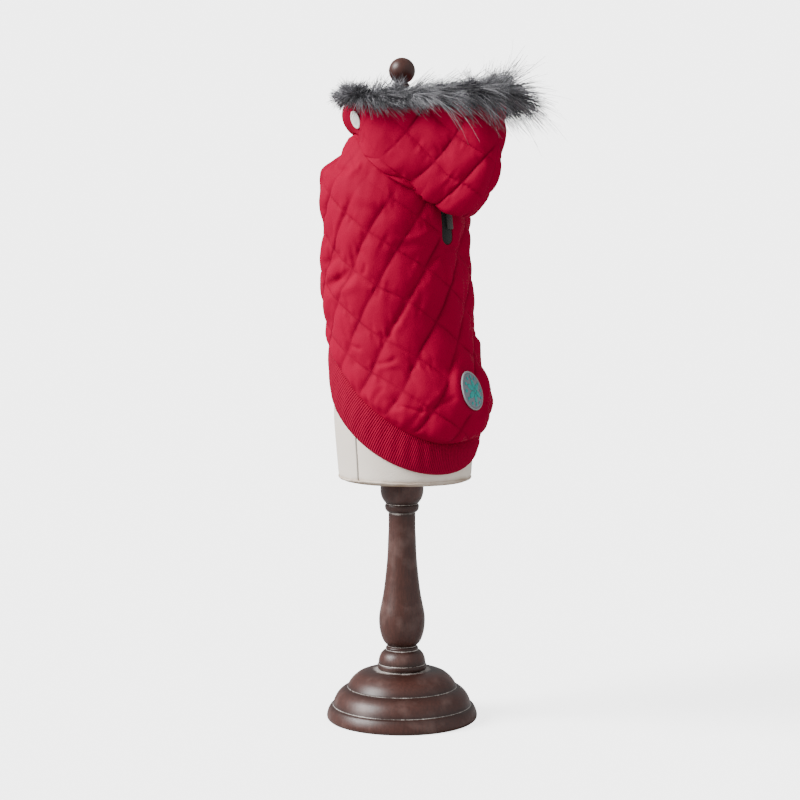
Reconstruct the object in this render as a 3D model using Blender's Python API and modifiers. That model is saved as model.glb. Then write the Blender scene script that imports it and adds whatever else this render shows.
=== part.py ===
"""Quilted dog coat with a fur-trimmed hood, worn by a limbless dress form on a turned stand.

Lengths are in millimetres in the tables and constants, and in metres on the objects.
The floor is z = 0 and the stand's axis is the z axis. +Y is the dog's back, -Y its belly
and throat, +X its left side. Angles round the body start at the centre back and turn
towards the left side.
"""
from bisect import bisect_right
from collections import namedtuple
from math import asin, atan2, ceil, cos, exp, hypot, pi, radians, sin, sqrt

import bmesh
import bpy
from mathutils import Vector

MM = 0.001
OBJECT_NAME = "quilted_dog_coat_on_form"

# ---- cloth ------------------------------------------------------------------------------
SEAM_GAP = 0.3          # between two sewn pieces, and under what lies on a panel
SEAM_THICKNESS = 1.8    # quilted cloth pressed flat at a seam
STITCH_THICKNESS = 1.9  # quilted cloth under a row of stitching
PUFF_THICKNESS = 4.8    # quilted cloth in the middle of a square
PLAIN_THICKNESS = 2.2
FLATTEN_WIDTH = 9.0     # how far a seam presses the wadding down
LEVEL_WIDTH = 7.0       # how far from a seam the cloth's edge turns level
BACK_SEAM_ANGLE = 146.0  # the side seams, from the centre back
UNROLL_RADIUS = 75.0    # turns an angle round the body into a length along the cloth

# ---- quilting: two steps from one crossing of stitch lines to the next ---------------------
Step = namedtuple("Step", "along up")
COAT_CROSSING = Step(46.3, 364.6)
COAT_STEP_STEEP = Step(-22.3, 32.6)
COAT_STEP_SHALLOW = Step(-27.2, -17.8)
HOOD_CROSSING = Step(81.0, -51.0)
HOOD_STEP_STEEP = Step(16.5, 20.5)
HOOD_STEP_SHALLOW = Step(31.0, -24.0)
OUTER_SPLITS = (0.0, 0.2, 0.5, 0.8)
INNER_SPLITS = (0.0, 0.5)

# ---- seams and edges round the body --------------------------------------------------------
RIB_SEAM_LOW = 281.7     # height of the seam between quilting and rib at its lowest
RIB_SEAM_RISE = 62.0
RIB_SEAM_TURN = 9.0      # the coat sits turned by this angle on the form
HEM_LOW = 251.6
HEM_RISE = 58.5
HEM_FLATNESS = 3.9
HEM_TURN = 15.0
NECK_BACK = 521.0        # height of the neckline at the back and at the throat
NECK_RISE = 57.0
NECK_FLAT_FROM = 118.0   # from this angle on the neckline is level
BLOUSE_HEIGHT = 17.0     # the cloth swells to its full size within this height above the rib

# ---- hem rib -------------------------------------------------------------------------------
RIB_COUNT = 110
RIB_CLEARANCE = 0.6
RIB_BARREL = 3.0
RIB_THICKNESS = 2.0
RIB_RELIEF = 0.8
RIB_LEAN = 0.15          # radians that a rib runs on round the body between its two ends
RIB_ROWS = 3

# ---- leg openings ----------------------------------------------------------------------------
LEG_ANGLE = 150.0
LEG_HEIGHT = 487.0
LEG_HALF_WIDTH = 20.0
LEG_HALF_HEIGHT = 29.0
BINDING_WIDTH = 3.4
BINDING_THICKNESS = 3.6

# ---- leash slot and patch on the centre back ----------------------------------------------------
SLOT_ALONG = -1.0
SLOT_HALF_WIDTH = 8.0
SLOT_BOTTOM = 471.0
SLOT_TOP = 513.0
SLOT_TAB_ALONG = -4.4
SLOT_TAB_WIDTH = 8.0
SLOT_TAB_BOTTOM = 486.0
PATCH_ALONG = -2.0
PATCH_HEIGHT = 331.0
PATCH_RADIUS = 18.4
PATCH_RIM_WIDTH = 1.9
PATCH_BED = 3.2          # thickness of the quilting pressed flat under the patch
PATCH_SEAT = 0.6

# ---- hood, collar and fur ------------------------------------------------------------------------
HOOD_FRONT_ANGLE = 92.0
COLLAR_THICKNESS = 2.0
COLLAR_TOP = 606.8
COLLAR_GAP_ANGLE = 2.4   # between the collar's end and the hood's front edge
SNAP_ANGLE = 101.0
SNAP_HEIGHT = 591.5
SNAP_RADIUS = 8.8
FUR_SEGMENTS = 76
FUR_SIDE_REACH = 0.35    # how far the locks reach at the throat, against those at the crown

# height of a level section, its centre, and its half sizes at the back, belly and sides
Section = namedtuple("Section", "height centre_y back belly side")
COAT_SECTIONS = (
    Section(270, 5.0, 89.4, 74.4, 72.4),
    Section(300, 5.0, 89.4, 74.4, 72.4),
    Section(327, 5.0, 87.4, 73.9, 71.9),
    Section(342, 4.0, 82.4, 73.4, 70.9),
    Section(354, 2.0, 77.0, 72.4, 70.4),
    Section(372, 0.0, 72.4, 72.4, 70.4),
    Section(392, -2.5, 69.4, 71.4, 70.0),
    Section(413, -6.0, 71.0, 71.4, 70.4),
    Section(437, -8.3, 71.4, 71.4, 70.8),
    Section(460, -9.7, 69.6, 69.8, 70.4),
    Section(478, -9.5, 69.0, 69.5, 70.2),
    Section(495, -10.0, 68.7, 69.0, 69.7),
    Section(520, -13.0, 67.4, 68.4, 67.9),
    Section(540, -13.5, 62.4, 65.4, 62.9),
    Section(555, -10.0, 56.4, 58.4, 55.9),
    Section(566, -6.0, 51.4, 50.9, 50.4),
    Section(580, -1.0, 45.9, 45.4, 44.4),
    Section(600, 0.0, 44.0, 44.0, 43.0),
)
FORM_SECTIONS = (
    Section(240.0, 3.9, 62.0, 62.0, 58.5),
    Section(241.6, 3.9, 65.2, 65.2, 61.6),
    Section(245.5, 3.9, 67.2, 67.2, 63.5),
    Section(254, 3.8, 68.1, 68.1, 64.3),
    Section(280, 3.5, 70.2, 70.2, 66.2),
    Section(309, 3.2, 71.6, 71.6, 67.6),
    Section(353, 2.4, 69.2, 69.4, 66.4),
    Section(400, -2.5, 65.2, 67.5, 65.8),
    Section(440, -7.5, 65.6, 67.5, 66.5),
    Section(485, -9.0, 64.6, 66.0, 65.5),
    Section(520, -12.5, 63.8, 65.0, 63.6),
    Section(540, -12.7, 58.4, 61.6, 58.8),
    Section(555, -9.2, 52.6, 54.6, 52.0),
    Section(566, -5.2, 47.4, 47.4, 46.4),
    Section(580, -0.8, 42.6, 42.6, 41.4),
    Section(594, 0.0, 39.0, 39.0, 38.0),
    Section(599, 0.0, 37.4, 37.4, 36.4),
    Section(600, 0.0, 35.5, 35.5, 34.5),
)

# a fold: its middle, half length, half width, how far it stands out (or in, below 0), and
# how far it leans from upright towards the belly
Fold = namedtuple("Fold", "angle height half_length half_width depth lean")
COAT_FOLDS = (
    Fold(134, 478, 13, 30, -3.2, 80),
    Fold(135, 409, 9, 26, -3.0, 75),
    Fold(126, 549, 6, 12, 2.6, 60),
    Fold(100, 486, 26, 5, -1.9, 10),
    Fold(108, 480, 24, 5, -1.6, 6),
    Fold(98, 432, 20, 6, -2.0, -35),
    Fold(116, 398, 18, 7, -1.6, -45),
    Fold(58, 322, 22, 5, -1.4, 68),
    Fold(-20, 455, 34, 7, -1.8, 4),
    Fold(-31, 372, 26, 8, -2.0, 20),
    Fold(-100, 470, 28, 6, -2.0, -8),
    Fold(-132, 440, 14, 28, -2.8, 84),
    Fold(-118, 540, 8, 14, 2.2, 60),
    Fold(-70, 345, 24, 6, -1.5, -60),
    Fold(168, 430, 12, 24, -1.8, 80),
    Fold(-170, 505, 12, 22, -1.6, 90),
)

# a cloth edge stretched level over two rounds, one over the neck and one at the crown
Stretch = namedtuple("Stretch", "neck_radius neck_y crown_radius crown_y")
HOOD_FOLD = Stretch(54.6, 0.0, 10.6, 75.6)     # the hood's lowest fold, its inner face
HOOD_RIM = Stretch(60.4, 8.0, 17.6, 111.0)     # the hood's open edge, its inner face
RIM_HEIGHT = 607.0
FOLD_SIDE_HEIGHT = 564.7   # the fold's height level with the neck
FOLD_FALL = 0.76           # and how it falls towards the crown
FOLD_PLACE = 0.3           # the fold's place on the way up the hood

# the fur's cross section from its foot inside the hood round its outside: distance out from
# the hood's inner face, height over its edge, and how far a full lock stands out from there
FurRow = namedtuple("FurRow", "out up lock_out lock_up")
FUR_ROWS = (
    FurRow(-4.5, 1.0, 0.0, 0.0),
    FurRow(6.2, 0.7, 0.0, 0.0),
    FurRow(7.4, -4.5, 5.0, -11.0),
    FurRow(12.0, 1.0, 26.0, -9.0),
    FurRow(15.0, 8.5, 34.0, 2.0),
    FurRow(12.5, 16.5, 24.0, 10.0),
    FurRow(5.0, 21.5, 8.0, 11.0),
    FurRow(-3.0, 21.0, -3.0, 12.0),
    FurRow(-9.0, 14.0, -5.0, 5.0),
    FurRow(-9.0, 5.5, -2.0, 0.0),
)

# turned profiles, from the top down
Turn = namedtuple("Turn", "radius height")
BALL = Turn(12.9, 640.0)
CAP_PROFILE = (
    Turn(5.6, 628.4), Turn(6.6, 627.8), Turn(7.7, 626.4), Turn(6.6, 625.0), Turn(6.2, 621.5),
    Turn(7.4, 617.8), Turn(12.5, 613.6), Turn(22.0, 610.0), Turn(29.0, 606.8),
    Turn(31.6, 603.8), Turn(31.0, 601.2), Turn(29.5, 600.3),
)
COLLAR_PROFILE = (
    Turn(18.0, 239.7), Turn(20.4, 238.2), Turn(21.3, 234.0), Turn(21.3, 227.5),
    Turn(20.3, 222.8), Turn(18.4, 219.0), Turn(16.3, 216.3), Turn(15.7, 215.5),
    Turn(16.7, 214.7), Turn(17.0, 212.6), Turn(16.2, 209.6), Turn(14.4, 207.6),
)
COLUMN_PROFILE = (
    Turn(13.4, 207.3), Turn(13.4, 191.0), Turn(13.9, 181.0), Turn(14.3, 169.0),
    Turn(14.9, 159.0), Turn(16.4, 143.5), Turn(18.3, 128.0), Turn(20.4, 116.5),
    Turn(22.2, 107.5), Turn(22.9, 100.0), Turn(22.5, 92.5), Turn(21.2, 85.5),
    Turn(18.6, 78.6), Turn(15.4, 74.6), Turn(14.3, 73.2), Turn(15.8, 72.2),
    Turn(16.2, 70.8), Turn(15.9, 69.6), Turn(18.6, 68.0), Turn(21.2, 65.0),
    Turn(22.9, 60.6), Turn(23.5, 56.2), Turn(23.3, 55.4), Turn(24.4, 54.5),
    Turn(24.6, 52.2), Turn(23.6, 50.1), Turn(22.6, 49.8),
)
BASE_PROFILE = (
    Turn(25.5, 49.5), Turn(34.0, 48.6), Turn(42.4, 46.0), Turn(47.9, 42.0), Turn(51.5, 38.0),
    Turn(54.2, 33.4), Turn(54.7, 32.0), Turn(57.2, 31.2), Turn(61.0, 28.6), Turn(64.6, 24.8),
    Turn(67.2, 20.0), Turn(68.9, 15.2), Turn(69.2, 14.2), Turn(71.4, 13.2), Turn(73.6, 9.4),
    Turn(75.0, 4.6), Turn(74.6, 1.6), Turn(72.8, 0.0),
)


# ---- small helpers -----------------------------------------------------------------------------
def clear_scene():
    for obj in list(bpy.data.objects):
        bpy.data.objects.remove(obj, do_unlink=True)


def linear(channel):
    return channel / 12.92 if channel <= 0.04045 else ((channel + 0.055) / 1.055) ** 2.4


def material(name, hex_colour, roughness, metallic=0.0):
    made = bpy.data.materials.new(name)
    made.use_nodes = True
    shader = made.node_tree.nodes["Principled BSDF"]
    rgb = [linear(int(hex_colour[i:i + 2], 16) / 255) for i in (0, 2, 4)]
    shader.inputs["Base Color"].default_value = (*rgb, 1.0)
    shader.inputs["Roughness"].default_value = roughness
    shader.inputs["Metallic"].default_value = metallic
    return made


def add_object(name, mesh, finish, collection, smooth_angle=40.0):
    obj = bpy.data.objects.new(name, mesh)
    obj.data.materials.clear()
    obj.data.materials.append(finish)
    collection.objects.link(obj)
    obj.data.shade_smooth()
    obj.data.set_sharp_from_angle(angle=radians(smooth_angle))
    return obj


def smooth_value(rows, at, column):
    """A column's value at a key, on a smooth curve through a table's rows."""
    keys = [row[0] for row in rows]
    at = min(max(at, keys[0]), keys[-1])
    first = min(bisect_right(keys, at) - 1, len(keys) - 2)

    def slope(row):
        before = max(row - 1, 0)
        after = min(row + 1, len(keys) - 1)
        rise = getattr(rows[after], column) - getattr(rows[before], column)
        return rise / (keys[after] - keys[before])

    span = keys[first + 1] - keys[first]
    part = (at - keys[first]) / span
    start = getattr(rows[first], column)
    end = getattr(rows[first + 1], column)
    return (start * (1 + 2 * part) * (1 - part) ** 2 + end * (3 - 2 * part) * part ** 2
            + slope(first) * span * part * (1 - part) ** 2
            - slope(first + 1) * span * (1 - part) * part ** 2)


def ease(value):
    value = min(max(value, 0.0), 1.0)
    return value * value * (3 - 2 * value)


def face_outwards(bm):
    """Turns a closed mesh's faces out."""
    bmesh.ops.recalc_face_normals(bm, faces=bm.faces)
    if bm.calc_volume(signed=True) < 0:
        bmesh.ops.reverse_faces(bm, faces=bm.faces)


def finished_mesh(bm, name):
    """A closed mesh, its curved faces split into triangles."""
    face_outwards(bm)
    bmesh.ops.triangulate(bm, faces=bm.faces)
    mesh = bpy.data.meshes.new(name)
    bm.to_mesh(mesh)
    bm.free()
    return mesh


# ---- the body's surface --------------------------------------------------------------------------
def section_point(sections, angle, height):
    half_y = smooth_value(sections, height, "back" if cos(angle) > 0 else "belly")
    half_x = smooth_value(sections, height, "side")
    centre = smooth_value(sections, height, "centre_y")
    return Vector((half_x * sin(angle), centre + half_y * cos(angle), height))


def level_outward(sections, angle, height):
    half_y = smooth_value(sections, height, "back" if cos(angle) > 0 else "belly")
    half_x = smooth_value(sections, height, "side")
    return Vector((sin(angle) / half_x, cos(angle) / half_y, 0.0)).normalized()


def rib_seam_height(angle):
    return RIB_SEAM_LOW + RIB_SEAM_RISE * (1 - cos(angle - radians(RIB_SEAM_TURN)))


def hem_height(angle):
    turned = angle - radians(HEM_TURN)
    return HEM_LOW + HEM_RISE * (1 - cos(turned)) - HEM_FLATNESS * (1 - cos(2 * turned))


def neck_height(angle):
    turn = abs(atan2(sin(angle), cos(angle)))
    share = min(turn / radians(NECK_FLAT_FROM), 1.0)
    return NECK_BACK + NECK_RISE * (1 - cos(pi * share)) / 2


def fold_depth(angle, height):
    """How far all the folds together move the cloth out at a point."""
    total = 0.0
    for fold in COAT_FOLDS:
        turn = atan2(sin(angle - radians(fold.angle)), cos(angle - radians(fold.angle)))
        across = turn * UNROLL_RADIUS
        up = height - fold.height
        lean = radians(fold.lean)
        along_fold = up * cos(lean) + across * sin(lean)
        off_fold = across * cos(lean) - up * sin(lean)
        total += fold.depth * exp(-(along_fold / fold.half_length) ** 2
                                  - (off_fold / fold.half_width) ** 2)
    return total


def rib_face(angle, height, swell):
    """Inner face of the rib, which hugs the form."""
    outward = level_outward(FORM_SECTIONS, angle, height)
    return section_point(FORM_SECTIONS, angle, height) + outward * (RIB_CLEARANCE + swell)


def coat_face(angle, height):
    """Inner face of the quilted cloth."""
    free = section_point(COAT_SECTIONS, angle, height)
    free += level_outward(COAT_SECTIONS, angle, height) * fold_depth(angle, height)
    rise = (height - rib_seam_height(angle)) / BLOUSE_HEIGHT
    if rise >= 1:
        return free
    swelling = sqrt(max(0.0, 1 - (1 - max(rise, 0.0)) ** 2))
    gathered = rib_face(angle, height, 0.0)
    return gathered + (free - gathered) * swelling


def outward_from(face, first, second, step_first, step_second):
    """Direction out of a surface given by two numbers, from small steps on it."""
    across = face(first + step_first, second) - face(first - step_first, second)
    up = face(first, second + step_second) - face(first, second - step_second)
    return across.cross(up).normalized()


def coat_place(along, height, thickness):
    """Cloth laid flat, along from the centre back and up, wrapped on the body.

    Its thickness turns level at the seam above and below, so that the next piece fits on it.
    """
    angle = along / UNROLL_RADIUS
    out = outward_from(coat_face, angle, height, 0.01, 0.6) * -1
    seam_distance = min(height - rib_seam_height(angle), neck_height(angle) - height)
    out = level_outward(COAT_SECTIONS, angle, height).lerp(out, ease(seam_distance / LEVEL_WIDTH))
    return (coat_face(angle, height) + out.normalized() * thickness) * MM


# ---- flat cloth, cut and wrapped ------------------------------------------------------------------
def grid_positions(count, splits):
    return [cell + part for cell in range(count) for part in splits] + [float(count)]


def flat_cloth(start, step_a, step_b, counts, outer_splits, inner_splits):
    """A closed flat slab: a fine grid on its outer face, a coarse one inside."""
    thickness = PUFF_THICKNESS
    bm = bmesh.new()
    faces = {}
    for level, splits in ((thickness, outer_splits), (0.0, inner_splits)):
        places_a = grid_positions(counts[0], splits)
        places_b = grid_positions(counts[1], splits)
        grid = [[bm.verts.new(((start.along + a * step_a.along + b * step_b.along) * MM,
                               (start.up + a * step_a.up + b * step_b.up) * MM, level * MM))
                 for b in places_b] for a in places_a]
        faces[level] = grid
        for i in range(len(places_a) - 1):
            for j in range(len(places_b) - 1):
                bm.faces.new((grid[i][j], grid[i + 1][j], grid[i + 1][j + 1], grid[i][j + 1]))
    ratio = len(outer_splits) // len(inner_splits)

    def rim(grid):
        bottom = [row[0] for row in grid]
        right = grid[-1]
        top = [row[-1] for row in reversed(grid)]
        left = list(reversed(grid[0]))
        return bottom[:-1] + right[:-1] + top[:-1] + left[:-1]

    outer_rim = rim(faces[thickness])
    inner_rim = rim(faces[0.0])
    for k, vert in enumerate(inner_rim):
        following = inner_rim[(k + 1) % len(inner_rim)]
        upper = [outer_rim[(k * ratio + m) % len(outer_rim)] for m in range(ratio + 1)]
        bm.faces.new([vert, following] + list(reversed(upper)))
    face_outwards(bm)
    mesh = bpy.data.meshes.new("flat_cloth")
    bm.to_mesh(mesh)
    bm.free()
    return bpy.data.objects.new("flat_cloth", mesh)


def prism(outline):
    """An upright cutter over a flat outline in millimetres."""
    low, high = -20.0, 30.0
    bm = bmesh.new()
    rings = [[bm.verts.new((x * MM, y * MM, z * MM)) for x, y in outline] for z in (low, high)]
    count = len(outline)
    for k in range(count):
        after = (k + 1) % count
        bm.faces.new((rings[0][k], rings[0][after], rings[1][after], rings[1][k]))
    bm.faces.new(rings[0])
    bm.faces.new(rings[1])
    return bpy.data.objects.new("pattern", finished_mesh(bm, "pattern"))


def cut_to_pattern(cloth, outline, holes):
    """The flat cloth inside an outline and outside its holes, as a mesh."""
    scene_objects = bpy.context.scene.collection.objects
    cutters = [(prism(outline), "INTERSECT")] + [(prism(hole), "DIFFERENCE") for hole in holes]
    scene_objects.link(cloth)
    for cutter, operation in cutters:
        scene_objects.link(cutter)
        boolean = cloth.modifiers.new("cut", "BOOLEAN")
        boolean.object = cutter
        boolean.operation = operation
        boolean.solver = "EXACT"
    bpy.context.view_layer.update()
    evaluated = cloth.evaluated_get(bpy.context.evaluated_depsgraph_get())
    mesh = bpy.data.meshes.new_from_object(evaluated)
    for obj in [cutter for cutter, _ in cutters] + [cloth]:
        bpy.data.objects.remove(obj, do_unlink=True)
    return mesh


def wrap(mesh, place, outer_thickness):
    """Moves a cut flat mesh onto its surface and raises its outer face."""
    half = PUFF_THICKNESS * MM / 2
    bm = bmesh.new()
    bm.from_mesh(mesh)
    bmesh.ops.remove_doubles(bm, verts=bm.verts, dist=0.15 * MM)
    bmesh.ops.holes_fill(bm, edges=[edge for edge in bm.edges if edge.is_boundary], sides=4)
    for vert in bm.verts:
        along, up, level = vert.co / MM
        raised = outer_thickness(along, up) if level * MM > half else 0.0
        vert.co = place(along, up, raised)
    return finished_mesh(bm, mesh.name)


def quilt_puff(along, up, crossing, steep, shallow):
    """0 on a stitch line, 1 in the middle of a square."""
    x = along - crossing.along
    y = up - crossing.up
    scale = steep.along * shallow.up - steep.up * shallow.along
    first = (x * shallow.up - y * shallow.along) / scale
    second = (y * steep.along - x * steep.up) / scale
    return (abs(sin(pi * first)) * abs(sin(pi * second))) ** 0.55


def quilt_thickness(puff, edge_distance):
    loft = STITCH_THICKNESS + (PUFF_THICKNESS - STITCH_THICKNESS) * puff
    return SEAM_THICKNESS + (loft - SEAM_THICKNESS) * ease(edge_distance / FLATTEN_WIDTH)


def oval(centre_x, centre_y, half_x, half_y, count):
    return [(centre_x + half_x * cos(2 * pi * k / count),
             centre_y + half_y * sin(2 * pi * k / count)) for k in range(count)]


def stadium(centre_x, bottom, top, half_width, count=10):
    """A slot with a round lower end and square upper corners."""
    low = bottom + half_width
    points = [(centre_x + half_width * cos(a), low + half_width * sin(a))
              for a in [pi + pi * k / count for k in range(count + 1)]]
    return points + [(centre_x + half_width, top), (centre_x - half_width, top)]


# ---- coat pieces ----------------------------------------------------------------------------------
def slot_distance(along, up):
    sideways = abs(along - SLOT_ALONG) - SLOT_HALF_WIDTH
    if up > SLOT_BOTTOM + SLOT_HALF_WIDTH:
        return max(sideways, up - SLOT_TOP)
    return hypot(along - SLOT_ALONG, up - SLOT_BOTTOM - SLOT_HALF_WIDTH) - SLOT_HALF_WIDTH


def leg_distance(along, up):
    centre = radians(LEG_ANGLE) * UNROLL_RADIUS
    size = hypot((abs(along) - centre) / LEG_HALF_WIDTH, (up - LEG_HEIGHT) / LEG_HALF_HEIGHT)
    return (size - 1) * LEG_HALF_WIDTH


def back_panel_thickness(along, up):
    angle = along / UNROLL_RADIUS
    side = radians(BACK_SEAM_ANGLE) * UNROLL_RADIUS
    edge = min(up - rib_seam_height(angle), neck_height(angle) - up, side - abs(along),
               slot_distance(along, up), leg_distance(along, up))
    puff = quilt_puff(along, up, COAT_CROSSING, COAT_STEP_STEEP, COAT_STEP_SHALLOW)
    quilted = quilt_thickness(puff, edge)
    off_patch = hypot(along - PATCH_ALONG, up - PATCH_HEIGHT) - PATCH_RADIUS - 3.0
    return PATCH_BED + (quilted - PATCH_BED) * ease(off_patch / FLATTEN_WIDTH)


def leg_hole(side, grow=0.0, count=28):
    centre = side * radians(LEG_ANGLE) * UNROLL_RADIUS
    return oval(centre, LEG_HEIGHT, LEG_HALF_WIDTH + grow, LEG_HALF_HEIGHT + grow, count)


def back_panel():
    side = radians(BACK_SEAM_ANGLE) * UNROLL_RADIUS - SEAM_GAP / 2
    count = 56
    spots = [-side + 2 * side * k / count for k in range(count + 1)]
    low = [(s, rib_seam_height(s / UNROLL_RADIUS) + SEAM_GAP) for s in spots]
    high = [(s, neck_height(s / UNROLL_RADIUS)) for s in reversed(spots)]
    slot = stadium(SLOT_ALONG, SLOT_BOTTOM, SLOT_TOP, SLOT_HALF_WIDTH)
    start = Step(COAT_CROSSING.along + 9 * (-COAT_STEP_STEEP.along) + 6 * (-COAT_STEP_SHALLOW.along),
                 COAT_CROSSING.up + 9 * (-COAT_STEP_STEEP.up) + 6 * (-COAT_STEP_SHALLOW.up))
    cloth = flat_cloth(start, COAT_STEP_STEEP, COAT_STEP_SHALLOW, (19, 17),
                       OUTER_SPLITS, INNER_SPLITS)
    mesh = cut_to_pattern(cloth, low + high, [leg_hole(1), leg_hole(-1), slot])
    return wrap(mesh, coat_place, back_panel_thickness)


def belly_panel():
    """The plain panel between the side seams, laid flat from the belly's middle."""
    middle = pi * UNROLL_RADIUS
    half = (pi - radians(BACK_SEAM_ANGLE)) * UNROLL_RADIUS - SEAM_GAP / 2
    count = 14
    spots = [middle - half + 2 * half * k / count for k in range(count + 1)]
    low = [(s, rib_seam_height(s / UNROLL_RADIUS) + SEAM_GAP) for s in spots]
    high = [(s, neck_height(s / UNROLL_RADIUS)) for s in reversed(spots)]
    far_leg = [(2 * middle + x, y) for x, y in leg_hole(-1)]
    cell = 15.0
    start = Step(middle - 4 * cell, 360.0)
    cloth = flat_cloth(start, Step(cell, 0.0), Step(0.0, cell), (8, 15), (0.0,), (0.0,))
    mesh = cut_to_pattern(cloth, low + high, [leg_hole(1), far_leg])
    return wrap(mesh, coat_place, lambda along, up: PLAIN_THICKNESS)


def loft(rings):
    """A closed solid from rings of points, with a face across its first and last ring."""
    bm = bmesh.new()
    rows = [[bm.verts.new(point) for point in ring] for ring in rings]
    for row, following in zip(rows, rows[1:]):
        for j in range(len(row)):
            after = (j + 1) % len(row)
            bm.faces.new((row[j], row[after], following[after], following[j]))
    bm.faces.new(rows[0])
    bm.faces.new(rows[-1])
    return finished_mesh(bm, "loft")


def hoop(rings):
    """A closed ring-shaped solid from its cross sections, placed one after another."""
    bm = bmesh.new()
    rows = [[bm.verts.new(point) for point in ring] for ring in rings]
    for row, following in zip(rows, rows[1:] + rows[:1]):
        for j in range(len(row)):
            after = (j + 1) % len(row)
            bm.faces.new((row[j], row[after], following[after], following[j]))
    return finished_mesh(bm, "hoop")


def rib_point(turn, share, thickness):
    """Point on the hem rib: turn round the body, share from its seam down to its hem."""
    lean = RIB_LEAN * sin(turn - radians(RIB_SEAM_TURN))
    angle = turn + lean * (2 * share - 1)
    top = rib_seam_height(turn - lean) - SEAM_GAP
    bottom = hem_height(turn + lean)
    height = top + (bottom - top) * share
    swell = RIB_BARREL * sin(pi * share) ** 0.8
    return (rib_face(angle, height, swell + thickness)) * MM


def hem_rib():
    """Fine ribs outside, a plain face with a fifth as many columns inside."""
    columns = RIB_COUNT * 2
    every = 5
    bm = bmesh.new()
    outer = []
    inner = []
    for row in range(RIB_ROWS + 1):
        share = row / RIB_ROWS
        outer.append([bm.verts.new(rib_point(2 * pi * j / columns, share,
                                             RIB_THICKNESS + RIB_RELIEF * (j % 2)))
                      for j in range(columns)])
        inner.append([bm.verts.new(rib_point(2 * pi * j / columns, share, 0.0))
                      for j in range(0, columns, every)])
    for rows in (outer, inner):
        count = len(rows[0])
        for row in range(RIB_ROWS):
            for j in range(count):
                after = (j + 1) % count
                bm.faces.new((rows[row][j], rows[row][after], rows[row + 1][after],
                              rows[row + 1][j]))
    for row in (0, RIB_ROWS):
        for j in range(len(inner[0])):
            after = (j + 1) % len(inner[0])
            edge = [outer[row][(j * every + k) % columns] for k in range(every + 1)]
            bm.faces.new([inner[row][j], inner[row][after]] + list(reversed(edge)))
    return finished_mesh(bm, "hem_rib")


def leg_binding(side):
    count = 28
    outer = leg_hole(side, -SEAM_GAP, count)
    inner = leg_hole(side, -SEAM_GAP - BINDING_WIDTH, count)
    rings = []
    for (out_x, out_y), (in_x, in_y) in zip(outer, inner):
        mid_x = (out_x + in_x) / 2
        mid_y = (out_y + in_y) / 2
        rings.append([coat_place(out_x, out_y, 0.2),
                      coat_place(out_x, out_y, BINDING_THICKNESS - 1.0),
                      coat_place(mid_x, mid_y, BINDING_THICKNESS),
                      coat_place(in_x, in_y, BINDING_THICKNESS - 1.0),
                      coat_place(in_x, in_y, 0.2)])
    return hoop(rings)


# ---- hood ------------------------------------------------------------------------------------------
def stretched_round(share, line, start_angle):
    """Point on a cloth edge stretched over two rounds, from a start angle to the centre back."""
    distance = line.crown_y - line.neck_y
    touch = pi / 2 - asin((line.neck_radius - line.crown_radius) / distance)
    arc_neck = line.neck_radius * (start_angle - touch)
    straight = distance * sin(touch)
    arc_crown = line.crown_radius * touch
    length = share * (arc_neck + straight + arc_crown)
    if length < arc_neck:
        angle = start_angle - length / line.neck_radius
        return line.neck_radius * sin(angle), line.neck_y + line.neck_radius * cos(angle)
    if length < arc_neck + straight:
        part = (length - arc_neck) / straight
        radius = line.neck_radius + (line.crown_radius - line.neck_radius) * part
        centre = line.neck_y + distance * part
        return radius * sin(touch), centre + radius * cos(touch)
    angle = touch - (length - arc_neck - straight) / line.crown_radius
    return line.crown_radius * sin(angle), line.crown_y + line.crown_radius * cos(angle)


def hood_neckline(share):
    angle = radians(HOOD_FRONT_ANGLE) * (1 - share) ** 1.15
    edge = coat_face(angle, neck_height(angle))
    return edge + level_outward(COAT_SECTIONS, angle, edge.z) * 1.2 + Vector((0, 0, 3.2))


HoodSpot = namedtuple("HoodSpot", "place x y z")


def hood_path(share):
    """The way up the hood's inner face: from the neckline out to its fold and up to its edge."""
    start = hood_neckline(share)
    x, y = stretched_round(share, HOOD_FOLD, radians(HOOD_FRONT_ANGLE))
    fold = Vector((x, y, max(FOLD_SIDE_HEIGHT - FOLD_FALL * y,
                             start.z + 3.5 - 30 * ease(share * 2.2 - 0.9))))
    x, y = stretched_round(share, HOOD_RIM, radians(HOOD_FRONT_ANGLE))
    edge = Vector((x, y, RIM_HEIGHT))
    spots = []
    for part in (0.0, 0.35, 0.7):
        level = start.lerp(fold, part)
        level.z = start.z + (fold.z - start.z) * part ** 2.4
        spots.append(HoodSpot(FOLD_PLACE * part, *level))
    for part in (0.0, 0.1, 0.22, 0.38, 0.6, 1.0):
        level = fold.lerp(edge, 1 - (1 - part) ** 4)
        level.z = fold.z + (edge.z - fold.z) * part
        spots.append(HoodSpot(FOLD_PLACE + (1 - FOLD_PLACE) * part, *level))
    return spots


def hood_face(share, place):
    """Inner face of the left half of the hood, mirrored past the centre back."""
    side = 1 if share <= 1 else -1
    spots = hood_path(share if share <= 1 else 2 - share)
    x, y, z = (smooth_value(spots, place, axis) for axis in ("x", "y", "z"))
    return Vector((side * x, y, z))


HOOD_STATIONS = 24


def hood_lengths():
    """Arc length of the hood's edge from its front, and of the way down to the neckline."""
    count = HOOD_STATIONS
    edge = [hood_face(k / count, 1.0) for k in range(count + 1)]
    round_length = sum((edge[k + 1] - edge[k]).length for k in range(count))
    falls = []
    for k in range(count + 1):
        way = [hood_face(k / count, m / 20) for m in range(21)]
        falls.append(sum((way[m + 1] - way[m]).length for m in range(20)))
    return round_length, falls


ROUND_LENGTH, FALL_LENGTHS = None, None


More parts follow.
